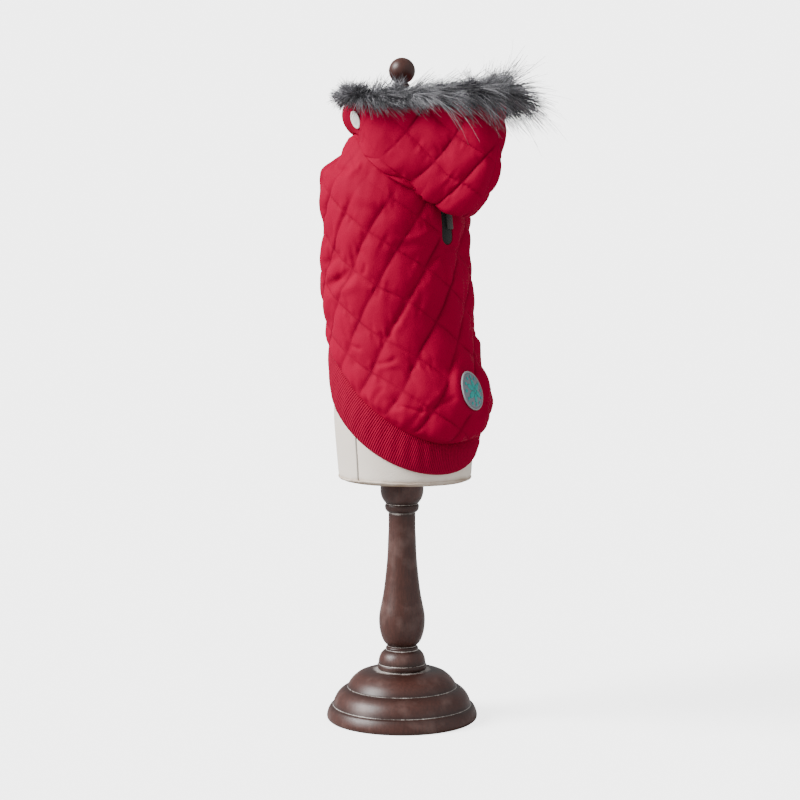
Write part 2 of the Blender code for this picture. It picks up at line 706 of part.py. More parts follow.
def fall_length(share):
    spot = min(max(share, 0.0), 1.0) * HOOD_STATIONS
    low = min(int(spot), HOOD_STATIONS - 1)
    return FALL_LENGTHS[low] + (FALL_LENGTHS[low + 1] - FALL_LENGTHS[low]) * (spot - low)


def hood_place(along, up, thickness):
    """Flat hood cloth, along from the front edge and down from the hood's edge, wrapped."""
    share = along / ROUND_LENGTH
    place = 1 + up / fall_length(share)
    low_place = min(max(place, 0.015), 0.985)
    low_share = max(share, 0.01)
    out = outward_from(hood_face, low_share, low_place, 0.008, 0.012)
    return (hood_face(share, place) + out * thickness) * MM


def hood_thickness(along, up):
    share = along / ROUND_LENGTH
    edge = min(-up, up + fall_length(share), along, ROUND_LENGTH - along)
    puff = quilt_puff(along, up, HOOD_CROSSING, HOOD_STEP_STEEP, HOOD_STEP_SHALLOW)
    place = 1 + up / fall_length(share)
    return quilt_thickness(puff * ease((place - 0.15) / 0.25), edge)


def hood_panel():
    last = ROUND_LENGTH - SEAM_GAP
    count = 30
    spots = [last * k / count for k in range(count + 1)]
    low = [(s, -fall_length(s / ROUND_LENGTH)) for s in spots]
    start = Step(HOOD_CROSSING.along - 6 * HOOD_STEP_STEEP.along - 3 * HOOD_STEP_SHALLOW.along,
                 HOOD_CROSSING.up - 6 * HOOD_STEP_STEEP.up - 3 * HOOD_STEP_SHALLOW.up)
    cloth = flat_cloth(start, HOOD_STEP_STEEP, HOOD_STEP_SHALLOW, (10, 7),
                       OUTER_SPLITS, INNER_SPLITS)
    mesh = cut_to_pattern(cloth, low + [(last, 0.0), (0.0, 0.0)], [])
    return wrap(mesh, hood_place, hood_thickness)


def mirrored(mesh):
    bm = bmesh.new()
    bm.from_mesh(mesh)
    bmesh.ops.scale(bm, vec=(-1, 1, 1), verts=bm.verts)
    bmesh.ops.reverse_faces(bm, faces=bm.faces)
    copy = bpy.data.meshes.new("mirrored")
    bm.to_mesh(copy)
    bm.free()
    return copy


# ---- collar, snap and fur -----------------------------------------------------------------------------
def collar_face(angle, share):
    """Inner face of the band over the throat: share from the neckline up to the fur."""
    low = coat_face(angle, neck_height(angle))
    low.z += SEAM_GAP
    radius = HOOD_RIM.neck_radius - 1.2
    high = Vector((radius * sin(angle), HOOD_RIM.neck_y + radius * cos(angle), COLLAR_TOP))
    return low + (high - low) * share


def collar_front():
    columns = 22
    rows = 3
    first = radians(HOOD_FRONT_ANGLE + COLLAR_GAP_ANGLE)
    rings = []
    for k in range(columns + 1):
        angle = first + (2 * pi - 2 * first) * k / columns
        face = [collar_face(angle, m / rows) for m in range(rows + 1)]
        out = Vector((sin(angle), cos(angle), 0.0)) * COLLAR_THICKNESS
        rings.append([point * MM for point in face]
                     + [(point + out) * MM for point in reversed(face)])
    return loft(rings)


def collar_snap():
    """A domed cap pressed onto the collar beside the hood's front edge."""
    angle = radians(SNAP_ANGLE)
    span = COLLAR_TOP - neck_height(angle)
    share = (SNAP_HEIGHT - neck_height(angle)) / span
    out = outward_from(collar_face, angle, share, 0.02, 0.05) * -1
    across = Vector((0, 0, 1)).cross(out).normalized()
    up = out.cross(across)
    centre = collar_face(angle, share) + out * (COLLAR_THICKNESS + 0.9)
    profile = (Turn(SNAP_RADIUS - 0.6, 0.0), Turn(SNAP_RADIUS, 0.5), Turn(SNAP_RADIUS - 0.5, 1.2),
               Turn(SNAP_RADIUS - 2.2, 1.7), Turn(2.6, 2.3))
    count = 22
    rings = []
    for turn in profile:
        rings.append([(centre + out * turn.height
                       + across * turn.radius * cos(2 * pi * k / count)
                       + up * turn.radius * sin(2 * pi * k / count)) * MM
                      for k in range(count)])
    return loft(rings)


def fur_path(turn):
    """Point on the hood's edge and the direction out of it, once round from the centre back."""
    side = 1 if turn <= 0.5 else -1
    share = 1 - 2 * min(turn, 1 - turn)
    x, y = stretched_round(share, HOOD_RIM, pi)
    return Vector((side * x, y, RIM_HEIGHT))


def fur_trim():
    """A thick roll over the hood's edge whose locks stand out to the tips of the hair."""
    rings = []
    for i in range(FUR_SEGMENTS):
        centre = fur_path(i / FUR_SEGMENTS)
        ahead = fur_path(((i + 0.4) / FUR_SEGMENTS) % 1.0)
        behind = fur_path(((i - 0.4) / FUR_SEGMENTS) % 1.0)
        run = (ahead - behind).normalized()
        out = Vector((-run.y, run.x, 0.0))
        crown = ease((centre.y - 20.0) / 95.0)
        reach = FUR_SIDE_REACH + (1 - FUR_SIDE_REACH) * crown
        ring = []
        for j, row in enumerate(FUR_ROWS):
            wave = 0.5 + 0.5 * sin(2.39996 * (i * 3 + j * 5))
            lock = (0.4 + 0.6 * wave) if (i + j) % 2 else 0.1 * wave
            off = row.out * (1 if row.out < 8 else 0.6 + 0.4 * crown) + row.lock_out * lock * reach
            rise = row.up + row.lock_up * lock
            ring.append((centre + out * off + Vector((0, 0, rise))) * MM)
        rings.append(ring)
    return hoop(rings)


# ---- what lies in the slot and on the panel ---------------------------------------------------------------
def slot_liner():
    outline = stadium(SLOT_ALONG, SLOT_BOTTOM + SEAM_GAP, SLOT_TOP - SEAM_GAP,
                      SLOT_HALF_WIDTH - SEAM_GAP)
    rings = [[coat_place(x, y, level) for x, y in outline] for level in (0.1, 1.1)]
    return loft(rings)


def slot_tab():
    half = SLOT_TAB_WIDTH / 2
    top = SLOT_TOP - 1.0
    outline = [(SLOT_TAB_ALONG - half, SLOT_TAB_BOTTOM), (SLOT_TAB_ALONG + half, SLOT_TAB_BOTTOM),
               (SLOT_TAB_ALONG + half, top), (SLOT_TAB_ALONG - half, top)]
    rings = [[coat_place(x, y, level) for x, y in outline] for level in (1.6, 2.9)]
    return loft(rings)


def patch_ring(radius, level, count):
    return [coat_place(PATCH_ALONG + radius * cos(2 * pi * k / count),
                       PATCH_HEIGHT + radius * sin(2 * pi * k / count), level)
            for k in range(count)]


def round_patch():
    count = 26
    low = PATCH_BED + PATCH_SEAT
    high = low + 1.2
    inside = PATCH_RADIUS - PATCH_RIM_WIDTH - SEAM_GAP
    rings = [patch_ring(inside * part, low, count) for part in (0.12, 0.55)]
    rings += [patch_ring(inside, low, count), patch_ring(inside, high, count)]
    rings += [patch_ring(inside * part, high, count) for part in (0.55, 0.12)]
    return loft(rings)


def round_patch_rim():
    count = 26
    low = PATCH_BED + PATCH_SEAT
    inner = PATCH_RADIUS - PATCH_RIM_WIDTH
    middle = PATCH_RADIUS - PATCH_RIM_WIDTH / 2
    rows = [patch_ring(inner, low, count), patch_ring(inner, low + 1.3, count),
            patch_ring(middle, low + 1.8, count), patch_ring(PATCH_RADIUS, low + 1.3, count),
            patch_ring(PATCH_RADIUS, low, count)]
    return hoop([[row[k] for row in rows] for k in range(count)])


# ---- form and stand --------------------------------------------------------------------------------------
def form_torso():
    count = 28
    heights = [row.height for row in FORM_SECTIONS]
    levels = []
    for low, high in zip(heights, heights[1:]):
        steps = max(1, ceil((high - low) / 30.0))
        levels += [low + (high - low) * k / steps for k in range(steps)]
    levels.append(heights[-1])
    rings = [[section_point(FORM_SECTIONS, 2 * pi * k / count, level) * MM
              for k in range(count)] for level in levels]
    return loft(rings)


def turned(name, profile, steps, finish, collection):
    """A profile from the top axis point down its outer side to the bottom axis point."""
    points = [Turn(0.0, profile[0].height), *profile, Turn(0.0, profile[-1].height)]
    mesh = bpy.data.meshes.new(name)
    verts = [(turn.radius * MM, 0.0, turn.height * MM) for turn in points]
    mesh.from_pydata(verts, [(k, k + 1) for k in range(len(verts) - 1)], [])
    obj = add_object(name, mesh, finish, collection)
    screw = obj.modifiers.new("turning", "SCREW")
    screw.axis = "Z"
    screw.steps = steps
    screw.render_steps = steps
    screw.use_merge_vertices = True
    screw.merge_threshold = 0.00002
    screw.use_smooth_shade = True
    return obj


def ball_profile():
    count = 8
    first = asin(CAP_PROFILE[0].radius / BALL.radius)
    turns = []
    for k in range(1, count):
        angle = (pi - first) * k / count
        turns.append(Turn(BALL.radius * sin(angle), BALL.height + BALL.radius * cos(angle)))
    return (Turn(0.6, BALL.height + BALL.radius), *turns, *CAP_PROFILE)


def main():
    global ROUND_LENGTH, FALL_LENGTHS
    clear_scene()
    parts = bpy.data.collections.new(OBJECT_NAME)
    bpy.context.scene.collection.children.link(parts)
    red_cloth = material("quilted_red_polyester", "B01937", 0.62)
    red_rib = material("red_rib_knit", "A51632", 0.85)
    red_plain = material("plain_red_polyester", "A81835", 0.65)
    grey_fur = material("grey_faux_fur", "7C7B80", 0.9)
    black_cloth = material("black_cloth", "14110F", 0.9)
    grey_webbing = material("grey_webbing", "46433F", 0.8)
    white_snap = material("white_acetal", "DCDFD7", 0.35)
    teal_rubber = material("teal_rubber", "5AAFAA", 0.5)
    grey_rubber = material("grey_rubber", "A0A5AA", 0.5)
    canvas = material("cream_canvas", "EAE0D9", 0.9)
    wood = material("stained_wood", "5C3E38", 0.45)

    ROUND_LENGTH, FALL_LENGTHS = hood_lengths()
    left_hood = hood_panel()
    pieces = (
        ("coat_back_panel", back_panel(), red_cloth),
        ("coat_belly_panel", belly_panel(), red_plain),
        ("coat_hem_rib", hem_rib(), red_rib),
        ("leg_binding_left", leg_binding(1), red_plain),
        ("leg_binding_right", leg_binding(-1), red_plain),
        ("hood_left", left_hood, red_cloth),
        ("hood_right", mirrored(left_hood), red_cloth),
        ("collar_front", collar_front(), red_plain),
        ("collar_snap", collar_snap(), white_snap),
        ("fur_trim", fur_trim(), grey_fur),
        ("leash_slot_liner", slot_liner(), black_cloth),
        ("leash_slot_tab", slot_tab(), grey_webbing),
        ("round_patch", round_patch(), teal_rubber),
        ("round_patch_rim", round_patch_rim(), grey_rubber),
        ("form_torso", form_torso(), canvas),
    )
    for name, mesh, finish in pieces:
        add_object(name, mesh, finish, parts)
    turned("form_finial", ball_profile(), 20, wood, parts)
    turned("stand_collar", COLLAR_PROFILE, 24, wood, parts)
    turned("stand_column", COLUMN_PROFILE, 22, wood, parts)
    turned("stand_base", BASE_PROFILE, 34, wood, parts)


if __name__ == "__main__":
    main()
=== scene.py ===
"""Looks of a quilted dog coat with a fur-trimmed hood, on a dress form and its turned stand.

Tables and sizes are in millimetres, objects in metres. +Y is the dog's back, +X its left side.
"""
import math
from collections import namedtuple

import bmesh
import bpy
import numpy as np
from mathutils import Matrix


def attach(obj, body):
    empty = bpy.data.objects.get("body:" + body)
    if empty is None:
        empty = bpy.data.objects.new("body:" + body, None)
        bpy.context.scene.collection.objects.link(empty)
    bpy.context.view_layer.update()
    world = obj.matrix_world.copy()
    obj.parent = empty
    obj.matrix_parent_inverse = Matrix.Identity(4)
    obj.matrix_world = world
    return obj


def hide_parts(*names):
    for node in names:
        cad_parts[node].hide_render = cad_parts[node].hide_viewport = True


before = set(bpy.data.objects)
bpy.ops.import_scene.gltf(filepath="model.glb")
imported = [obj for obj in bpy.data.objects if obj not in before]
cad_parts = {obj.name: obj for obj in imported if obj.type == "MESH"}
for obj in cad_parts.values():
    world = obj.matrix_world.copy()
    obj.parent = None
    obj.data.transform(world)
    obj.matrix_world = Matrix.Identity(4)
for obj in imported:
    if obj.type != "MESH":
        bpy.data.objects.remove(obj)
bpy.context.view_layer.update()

bl_info = {
    "name": "Quilted dog coat on a dress form",
    "version": (1, 0, 0),
    "blender": (4, 5, 0),
    "location": "View3D > Sidebar > Dog coat",
    "description": "Cloth, fur, canvas, wood and studio for the coat and its stand",
    "category": "Object",
}

MM = 0.001
BODY = "root"


def linear_rgb(hex_colour):
    """The linear colour of an sRGB hex value."""
    channels = [int(hex_colour[i:i + 2], 16) / 255 for i in (0, 2, 4)]
    return tuple(c / 12.92 if c <= 0.04045 else ((c + 0.055) / 1.055) ** 2.4 for c in channels)


# ---- sizes of the coat, form and stand ---------------------------------------------------------
SEAM_GAP = 0.3
SEAM_THICKNESS = 1.8
SEAM_TUCK = 0.9             # here only: how far a cloth runs past the rib seam
STITCH_THICKNESS = 1.9
PLAIN_THICKNESS = 2.2
FLATTEN_WIDTH = 9.0
LEVEL_WIDTH = 7.0
BACK_SEAM_ANGLE = 146.0
UNROLL_RADIUS = 75.0
RIB_SEAM_LOW = 281.7
RIB_SEAM_RISE = 62.0
RIB_SEAM_TURN = 9.0
HEM_LOW = 251.6
HEM_RISE = 58.5
HEM_FLATNESS = 3.9
HEM_TURN = 15.0
NECK_BACK = 521.0
NECK_RISE = 57.0
NECK_FLAT_FROM = 118.0
BLOUSE_HEIGHT = 17.0
RIB_CLEARANCE = 0.6
RIB_BARREL = 3.0
RIB_THICKNESS = 2.0
RIB_LEAN = 0.15
LEG_ANGLE = 150.0
LEG_HEIGHT = 487.0
LEG_HALF_WIDTH = 20.0
LEG_HALF_HEIGHT = 29.0
BINDING_WIDTH = 3.4
BINDING_THICKNESS = 3.6
SLOT_ALONG = -1.0
SLOT_HALF_WIDTH = 8.0
SLOT_BOTTOM = 471.0
SLOT_TOP = 513.0
SLOT_TAB_ALONG = -4.4
SLOT_TAB_WIDTH = 8.0
SLOT_TAB_BOTTOM = 486.0
PATCH_ALONG = -2.0
PATCH_HEIGHT = 331.0
PATCH_RADIUS = 18.4
PATCH_RIM_WIDTH = 1.9
PATCH_BED = 3.2
PATCH_SEAT = 0.6
PATCH_LEAN = 0.17           # here only: rise for each mm across the patch
HOOD_FRONT_ANGLE = 92.0
RIM_HEIGHT = 607.0
FOLD_SIDE_HEIGHT = 564.7
FOLD_FALL = 0.76
FOLD_PLACE = 0.3
COLLAR_THICKNESS = 2.0
COLLAR_TOP = 606.8
COLLAR_OVERLAP_ANGLE = 8.0  # here only: how far the collar's ends run behind the hood
SNAP_ANGLE = 101.0
SNAP_HEIGHT = 591.5

Step = namedtuple("Step", "along up")
Quilt = namedtuple("Quilt", "crossing steep shallow")
COAT_QUILT = Quilt(Step(46.3, 364.6), Step(-22.3, 32.6), Step(-27.2, -17.8))
HOOD_QUILT = Quilt(Step(81.0, -51.0), Step(16.5, 20.5), Step(31.0, -24.0))

Section = namedtuple("Section", "height centre_y back belly side")
COAT_SECTIONS = (
    Section(270, 5.0, 89.4, 74.4, 72.4),
    Section(300, 5.0, 89.4, 74.4, 72.4),
    Section(327, 5.0, 87.4, 73.9, 71.9),
    Section(342, 4.0, 82.4, 73.4, 70.9),
    Section(354, 2.0, 77.0, 72.4, 70.4),
    Section(372, 0.0, 72.4, 72.4, 70.4),
    Section(392, -2.5, 69.4, 71.4, 70.0),
    Section(413, -6.0, 71.0, 71.4, 70.4),
    Section(437, -8.3, 71.4, 71.4, 70.8),
    Section(460, -9.7, 69.6, 69.8, 70.4),
    Section(478, -9.5, 69.0, 69.5, 70.2),
    Section(495, -10.0, 68.7, 69.0, 69.7),
    Section(520, -13.0, 67.4, 68.4, 67.9),
    Section(540, -13.5, 62.4, 65.4, 62.9),
    Section(555, -10.0, 56.4, 58.4, 55.9),
    Section(566, -6.0, 51.4, 50.9, 50.4),
    Section(580, -1.0, 45.9, 45.4, 44.4),
    Section(600, 0.0, 44.0, 44.0, 43.0),
)
FORM_SECTIONS = (
    Section(240.0, 3.9, 62.0, 62.0, 58.5),
    Section(241.6, 3.9, 65.2, 65.2, 61.6),
    Section(245.5, 3.9, 67.2, 67.2, 63.5),
    Section(254, 3.8, 68.1, 68.1, 64.3),
    Section(280, 3.5, 70.2, 70.2, 66.2),
    Section(309, 3.2, 71.6, 71.6, 67.6),
    Section(353, 2.4, 69.2, 69.4, 66.4),
    Section(400, -2.5, 65.2, 67.5, 65.8),
    Section(440, -7.5, 65.6, 67.5, 66.5),
    Section(485, -9.0, 64.6, 66.0, 65.5),
    Section(520, -12.5, 63.8, 65.0, 63.6),
    Section(540, -12.7, 58.4, 61.6, 58.8),
    Section(555, -9.2, 52.6, 54.6, 52.0),
    Section(566, -5.2, 47.4, 47.4, 46.4),
    Section(580, -0.8, 42.6, 42.6, 41.4),
    Section(594, 0.0, 39.0, 39.0, 38.0),
    Section(599, 0.0, 37.4, 37.4, 36.4),
    Section(600, 0.0, 35.5, 35.5, 34.5),
)
Fold = namedtuple("Fold", "angle height half_length half_width depth lean")
# the folds at heights 541 and 558 stand where the solids have one, at 549
COAT_FOLDS = (
    Fold(134, 478, 13, 30, -3.2, 80),
    Fold(135, 409, 9, 26, -3.0, 75),
    Fold(128, 541, 7, 14, 3.0, 66),
    Fold(132, 558, 22, 8, -6.5, 80),
    Fold(100, 486, 26, 5, -1.9, 10),
    Fold(108, 480, 24, 5, -1.6, 6),
    Fold(98, 432, 20, 6, -2.0, -35),
    Fold(116, 398, 18, 7, -1.6, -45),
    Fold(58, 322, 22, 5, -1.4, 68),
    Fold(-20, 455, 34, 7, -1.8, 4),
    Fold(-31, 372, 26, 8, -2.0, 20),
    Fold(-100, 470, 28, 6, -2.0, -8),
    Fold(-132, 440, 14, 28, -2.8, 84),
    Fold(-118, 540, 8, 14, 2.2, 60),
    Fold(-70, 345, 24, 6, -1.5, -60),
    Fold(168, 430, 12, 24, -1.8, 80),
    Fold(-170, 505, 12, 22, -1.6, 90),
)
Stretch = namedtuple("Stretch", "neck_radius neck_y crown_radius crown_y")
HOOD_FOLD = Stretch(54.6, 0.0, 10.6, 75.6)
HOOD_RIM = Stretch(60.4, 8.0, 16.4, 109.0)  # reaches 3 mm less far back than the solids' rim

Turn = namedtuple("Turn", "radius height")
FINIAL_PROFILE = (
    Turn(5.6, 628.4), Turn(6.6, 627.8), Turn(7.7, 626.4), Turn(6.6, 625.0), Turn(6.2, 621.5),
    Turn(7.4, 617.8), Turn(12.5, 613.6), Turn(22.0, 610.0), Turn(29.0, 606.8),
    Turn(31.6, 603.8), Turn(31.0, 601.2), Turn(29.5, 600.3),
)
COLLAR_PROFILE = (
    Turn(18.0, 239.7), Turn(20.4, 238.2), Turn(21.3, 234.0), Turn(21.3, 227.5),
    Turn(20.3, 222.8), Turn(18.4, 219.0), Turn(16.3, 216.3), Turn(15.7, 215.5),
    Turn(16.7, 214.7), Turn(17.0, 212.6), Turn(16.2, 209.6), Turn(14.4, 207.6),
)
COLUMN_PROFILE = (
    Turn(13.4, 207.3), Turn(13.4, 191.0), Turn(13.9, 181.0), Turn(14.3, 169.0),
    Turn(14.9, 159.0), Turn(16.4, 143.5), Turn(18.3, 128.0), Turn(20.4, 116.5),
    Turn(22.2, 107.5), Turn(22.9, 100.0), Turn(22.5, 92.5), Turn(21.2, 85.5),
    Turn(18.6, 78.6), Turn(15.4, 74.6), Turn(14.3, 73.2), Turn(15.8, 72.2),
    Turn(16.2, 70.8), Turn(15.9, 69.6), Turn(18.6, 68.0), Turn(21.2, 65.0),
    Turn(22.9, 60.6), Turn(23.5, 56.2), Turn(23.3, 55.4), Turn(24.4, 54.5),
    Turn(24.6, 52.2), Turn(23.6, 50.1), Turn(22.6, 49.8),
)
BASE_PROFILE = (
    Turn(25.5, 49.5), Turn(34.0, 48.6), Turn(42.4, 46.0), Turn(47.9, 42.0), Turn(51.5, 38.0),
    Turn(54.2, 33.4), Turn(54.7, 32.0), Turn(57.2, 31.2), Turn(61.0, 28.6), Turn(64.6, 24.8),
    Turn(67.2, 20.0), Turn(68.9, 15.2), Turn(69.2, 14.2), Turn(71.4, 13.2), Turn(73.6, 9.4),
    Turn(75.0, 4.6), Turn(74.6, 1.6), Turn(72.8, 0.0),
)
LIMED_GROOVES = (14.6, 32.4, 49.6, 55.4, 69.6, 73.4, 207.4, 215.6, 625.2)
LIMED_HALF_WIDTH = 0.5
GROOVE_DARK_HALF_WIDTH = 3.6


# ---- smooth values and surfaces, all on arrays -------------------------------------------------
def ease(value):
    value = np.clip(value, 0.0, 1.0)
    return value * value * (3 - 2 * value)


def smooth_curve(keys, values, at):
    """Values on a smooth curve through keys. Values may have one column for each place asked."""
    keys = np.asarray(keys, float)
    values = np.asarray(values, float)
    rise = np.diff(values, axis=0)
    span = np.diff(keys).reshape((-1,) + (1,) * (values.ndim - 1))
    slopes = np.empty_like(values)
    slopes[0] = rise[0] / span[0]
    slopes[-1] = rise[-1] / span[-1]
    slopes[1:-1] = (values[2:] - values[:-2]) / (span[1:] + span[:-1])
    at = np.clip(at, keys[0], keys[-1])
    first = np.clip(np.searchsorted(keys, at, side="right") - 1, 0, len(keys) - 2)
    width = keys[first + 1] - keys[first]
    part = (at - keys[first]) / width
    low, high = (first, first + 1)
    if values.ndim == 3:
        column = np.arange(values.shape[1])
        low, high = ((first, column), (first + 1, column))
        width = width[:, None]
        part = part[:, None]
    return (values[low] * (1 + 2 * part) * (1 - part) ** 2
            + values[high] * (3 - 2 * part) * part ** 2
            + slopes[low] * width * part * (1 - part) ** 2
            - slopes[high] * width * (1 - part) * part ** 2)


def column_at(sections, height, name):
    return smooth_curve([s.height for s in sections], [getattr(s, name) for s in sections], height)


def section_point(sections, angle, height):
    half_y = np.where(np.cos(angle) > 0, column_at(sections, height, "back"),
                      column_at(sections, height, "belly"))
    return np.stack([column_at(sections, height, "side") * np.sin(angle),
                     column_at(sections, height, "centre_y") + half_y * np.cos(angle),
                     height + 0 * angle], -1)


def unit(vectors):
    return vectors / np.maximum(np.linalg.norm(vectors, axis=-1, keepdims=True), 1e-9)


def level_outward(sections, angle, height):
    half_y = np.where(np.cos(angle) > 0, column_at(sections, height, "back"),
                      column_at(sections, height, "belly"))
    half_x = column_at(sections, height, "side")
    return unit(np.stack([np.sin(angle) / half_x, np.cos(angle) / half_y, 0 * angle], -1))


def rib_seam_height(angle):
    return RIB_SEAM_LOW + RIB_SEAM_RISE * (1 - np.cos(angle - math.radians(RIB_SEAM_TURN)))


def hem_height(angle):
    turned = angle - math.radians(HEM_TURN)
    return HEM_LOW + HEM_RISE * (1 - np.cos(turned)) - HEM_FLATNESS * (1 - np.cos(2 * turned))


def neck_height(angle):
    turn = np.abs(np.arctan2(np.sin(angle), np.cos(angle)))
    share = np.minimum(turn / math.radians(NECK_FLAT_FROM), 1.0)
    return NECK_BACK + NECK_RISE * (1 - np.cos(math.pi * share)) / 2


def fold_depth(angle, height):
    total = 0.0
    for fold in COAT_FOLDS:
        centre = math.radians(fold.angle)
        across = np.arctan2(np.sin(angle - centre), np.cos(angle - centre)) * UNROLL_RADIUS
        up = height - fold.height
        lean = math.radians(fold.lean)
        along_fold = up * math.cos(lean) + across * math.sin(lean)
        off_fold = across * math.cos(lean) - up * math.sin(lean)
        total = total + fold.depth * np.exp(-(along_fold / fold.half_length) ** 2
                                            - (off_fold / fold.half_width) ** 2)
    return total


def rib_face(angle, height, swell):
    outward = level_outward(FORM_SECTIONS, angle, height)
    return section_point(FORM_SECTIONS, angle, height) + outward * (
        RIB_CLEARANCE + np.asarray(swell)[..., None])


def coat_face(angle, height):
    """Inner face of the quilted cloth."""
    free = section_point(COAT_SECTIONS, angle, height)
    free = free + level_outward(COAT_SECTIONS, angle, height) * fold_depth(angle, height)[..., None]
    rise = np.clip((height - rib_seam_height(angle)) / BLOUSE_HEIGHT, 0.0, 1.0)
    swelling = np.sqrt(1 - (1 - rise) ** 2)[..., None]
    gathered = rib_face(angle, height, 0.0 * height)
    return gathered + (free - gathered) * swelling


def outward_from(face, first, second, step_first, step_second):
    across = face(first + step_first, second) - face(first - step_first, second)
    up = face(first, second + step_second) - face(first, second - step_second)
    return unit(np.cross(across, up))


def coat_place(along, height, thickness):
    """Cloth laid flat, along from the centre back and up, wrapped on the body, in metres."""
    along, height, thickness = np.broadcast_arrays(*(np.asarray(v, float) for v in
                                                     (along, height, thickness)))
    angle = along / UNROLL_RADIUS
    out = -outward_from(coat_face, angle, height, 0.01, 0.6)
    seam = np.minimum(height - rib_seam_height(angle), neck_height(angle) - height)
    part = ease(seam / LEVEL_WIDTH)[..., None]
    level = level_outward(COAT_SECTIONS, angle, height)
    out = unit(level * (1 - part) + out * part)
    return (coat_face(angle, height) + out * thickness[..., None]) * MM


# ---- quilting ----------------------------------------------------------------------------------
Drift = namedtuple("Drift", "along up shift_along shift_up")
QUILT_DRIFT = (
    Drift(80, 432, 1.7, -0.8), Drift(76, 379, 2.5, -3.4), Drift(94, 351, -1.8, 1.2),
    Drift(46, 366, -0.3, 1.4), Drift(68, 334, -0.7, 2.0), Drift(43, 316, 1.5, 1.8),
    Drift(87, 484, 3.9, 0.8), Drift(56, 467, 0.0, 1.6), Drift(48, 420, -3.1, 5.0),
    Drift(19, 397, -5.0, -0.2), Drift(23, 341, 3.8, -5.8), Drift(103, 447, -2.5, -3.6),
)


def drifted(along, up):
    """Where the quilting would lie if the cloth hadn't been pulled out of square in wear."""
    total = 0.25
    shift_along = 1.3 * soft_noise(along, up, 80.0, 61) * 0.25
    shift_up = 1.3 * soft_noise(along, up, 80.0, 62) * 0.25
    for drift in QUILT_DRIFT:
        near = np.exp(-((along - drift.along) ** 2 + (up - drift.up) ** 2) / (2 * 17.0 ** 2))
        total = total + near
        shift_along = shift_along + near * drift.shift_along
        shift_up = shift_up + near * drift.shift_up
    return along - shift_along / total, up - shift_up / total


def quilt_places(along, up, quilt):
    if quilt is COAT_QUILT:
        along, up = drifted(along, up)
    x = along - quilt.crossing.along
    y = up - quilt.crossing.up
    scale = quilt.steep.along * quilt.shallow.up - quilt.steep.up * quilt.shallow.along
    return ((x * quilt.shallow.up - y * quilt.shallow.along) / scale,
            (y * quilt.steep.along - x * quilt.steep.up) / scale)


def soft_noise(along, up, grain, seed):
    """Smooth uneven values from -1 to 1 on cloth laid flat, with hills about grain wide."""
    maker = np.random.default_rng(seed)
    total = 0.0
    for _ in range(9):
        turn = maker.uniform(0, math.pi)
        pitch = grain * maker.uniform(0.7, 1.9)
        total = total + np.sin((along * math.cos(turn) + up * math.sin(turn)) * 2 * math.pi / pitch
                               + maker.uniform(0, 2 * math.pi))
    return total / 4.2


def pucker(line_place, run_place, spacing, run_length, seed):
    """Small gathers beside a row of stitching, uneven along it."""
    off = np.abs(line_place - np.round(line_place)) * spacing
    row = np.round(line_place)
    run = run_place * run_length
    slant = (line_place - row) * spacing * (0.5 + 0.4 * np.sin(2.1 * row + seed))
    waves = (np.sin((run + slant) * 2 * math.pi / 11.3 + 3.1 * row + seed)
             + 0.8 * np.sin((run - slant) * 2 * math.pi / 17.9 + 1.7 * row)
             + 0.45 * np.sin((run + 0.6 * slant) * 2 * math.pi / 6.1 + 2.3 * row))
    strength = 0.55 + 0.45 * np.sin(run * 2 * math.pi / 47.0 + 2.9 * row + seed)
    return waves * strength * np.exp(-(off / 7.0) ** 2) * (1 - np.exp(-(off / 1.3) ** 2))


def quilt_relief(along, up, quilt, sizes, seed):
    """Thickness of the quilted cloth away from its edges."""
    first, second = quilt_places(along, up, quilt)
    puff = np.abs(np.sin(math.pi * first)) ** 0.42 * np.abs(np.sin(math.pi * second)) ** 0.6
    cell = np.floor(first) * 7.13 + np.floor(second) * 3.71
    puff = puff * (0.9 + 0.14 * np.sin(cell * 5.3))
    side = 35.0
    gathers = pucker(first, second, side, side, seed) + pucker(second, first, side, side, seed + 2)
    low = STITCH_THICKNESS - 1.0
    loft = low + (sizes.puff / MM - low) * puff
    return loft + gathers * sizes.pucker / MM


def stitch_shade_share(along, up, quilt):
    """Painted shade near the rows of stitching, wider by the steep rows, deeper in some stretches.
    """
    first, second = quilt_places(along, up, quilt)
    square = 34.0
    off_steep = (second - np.round(second)) * square
    off_shallow = (first - np.round(first)) * square
    sunk = 0.62 + 0.38 * soft_noise(along, up, 42.0, 71)
    line = np.maximum(0.7 * np.exp(-(off_steep / 0.9) ** 2),
                      0.36 * np.exp(-(off_shallow / 0.8) ** 2))
    return np.clip(sunk * (line + 0.22 * np.exp(-(off_steep / 3.0) ** 2)), 0, 1)


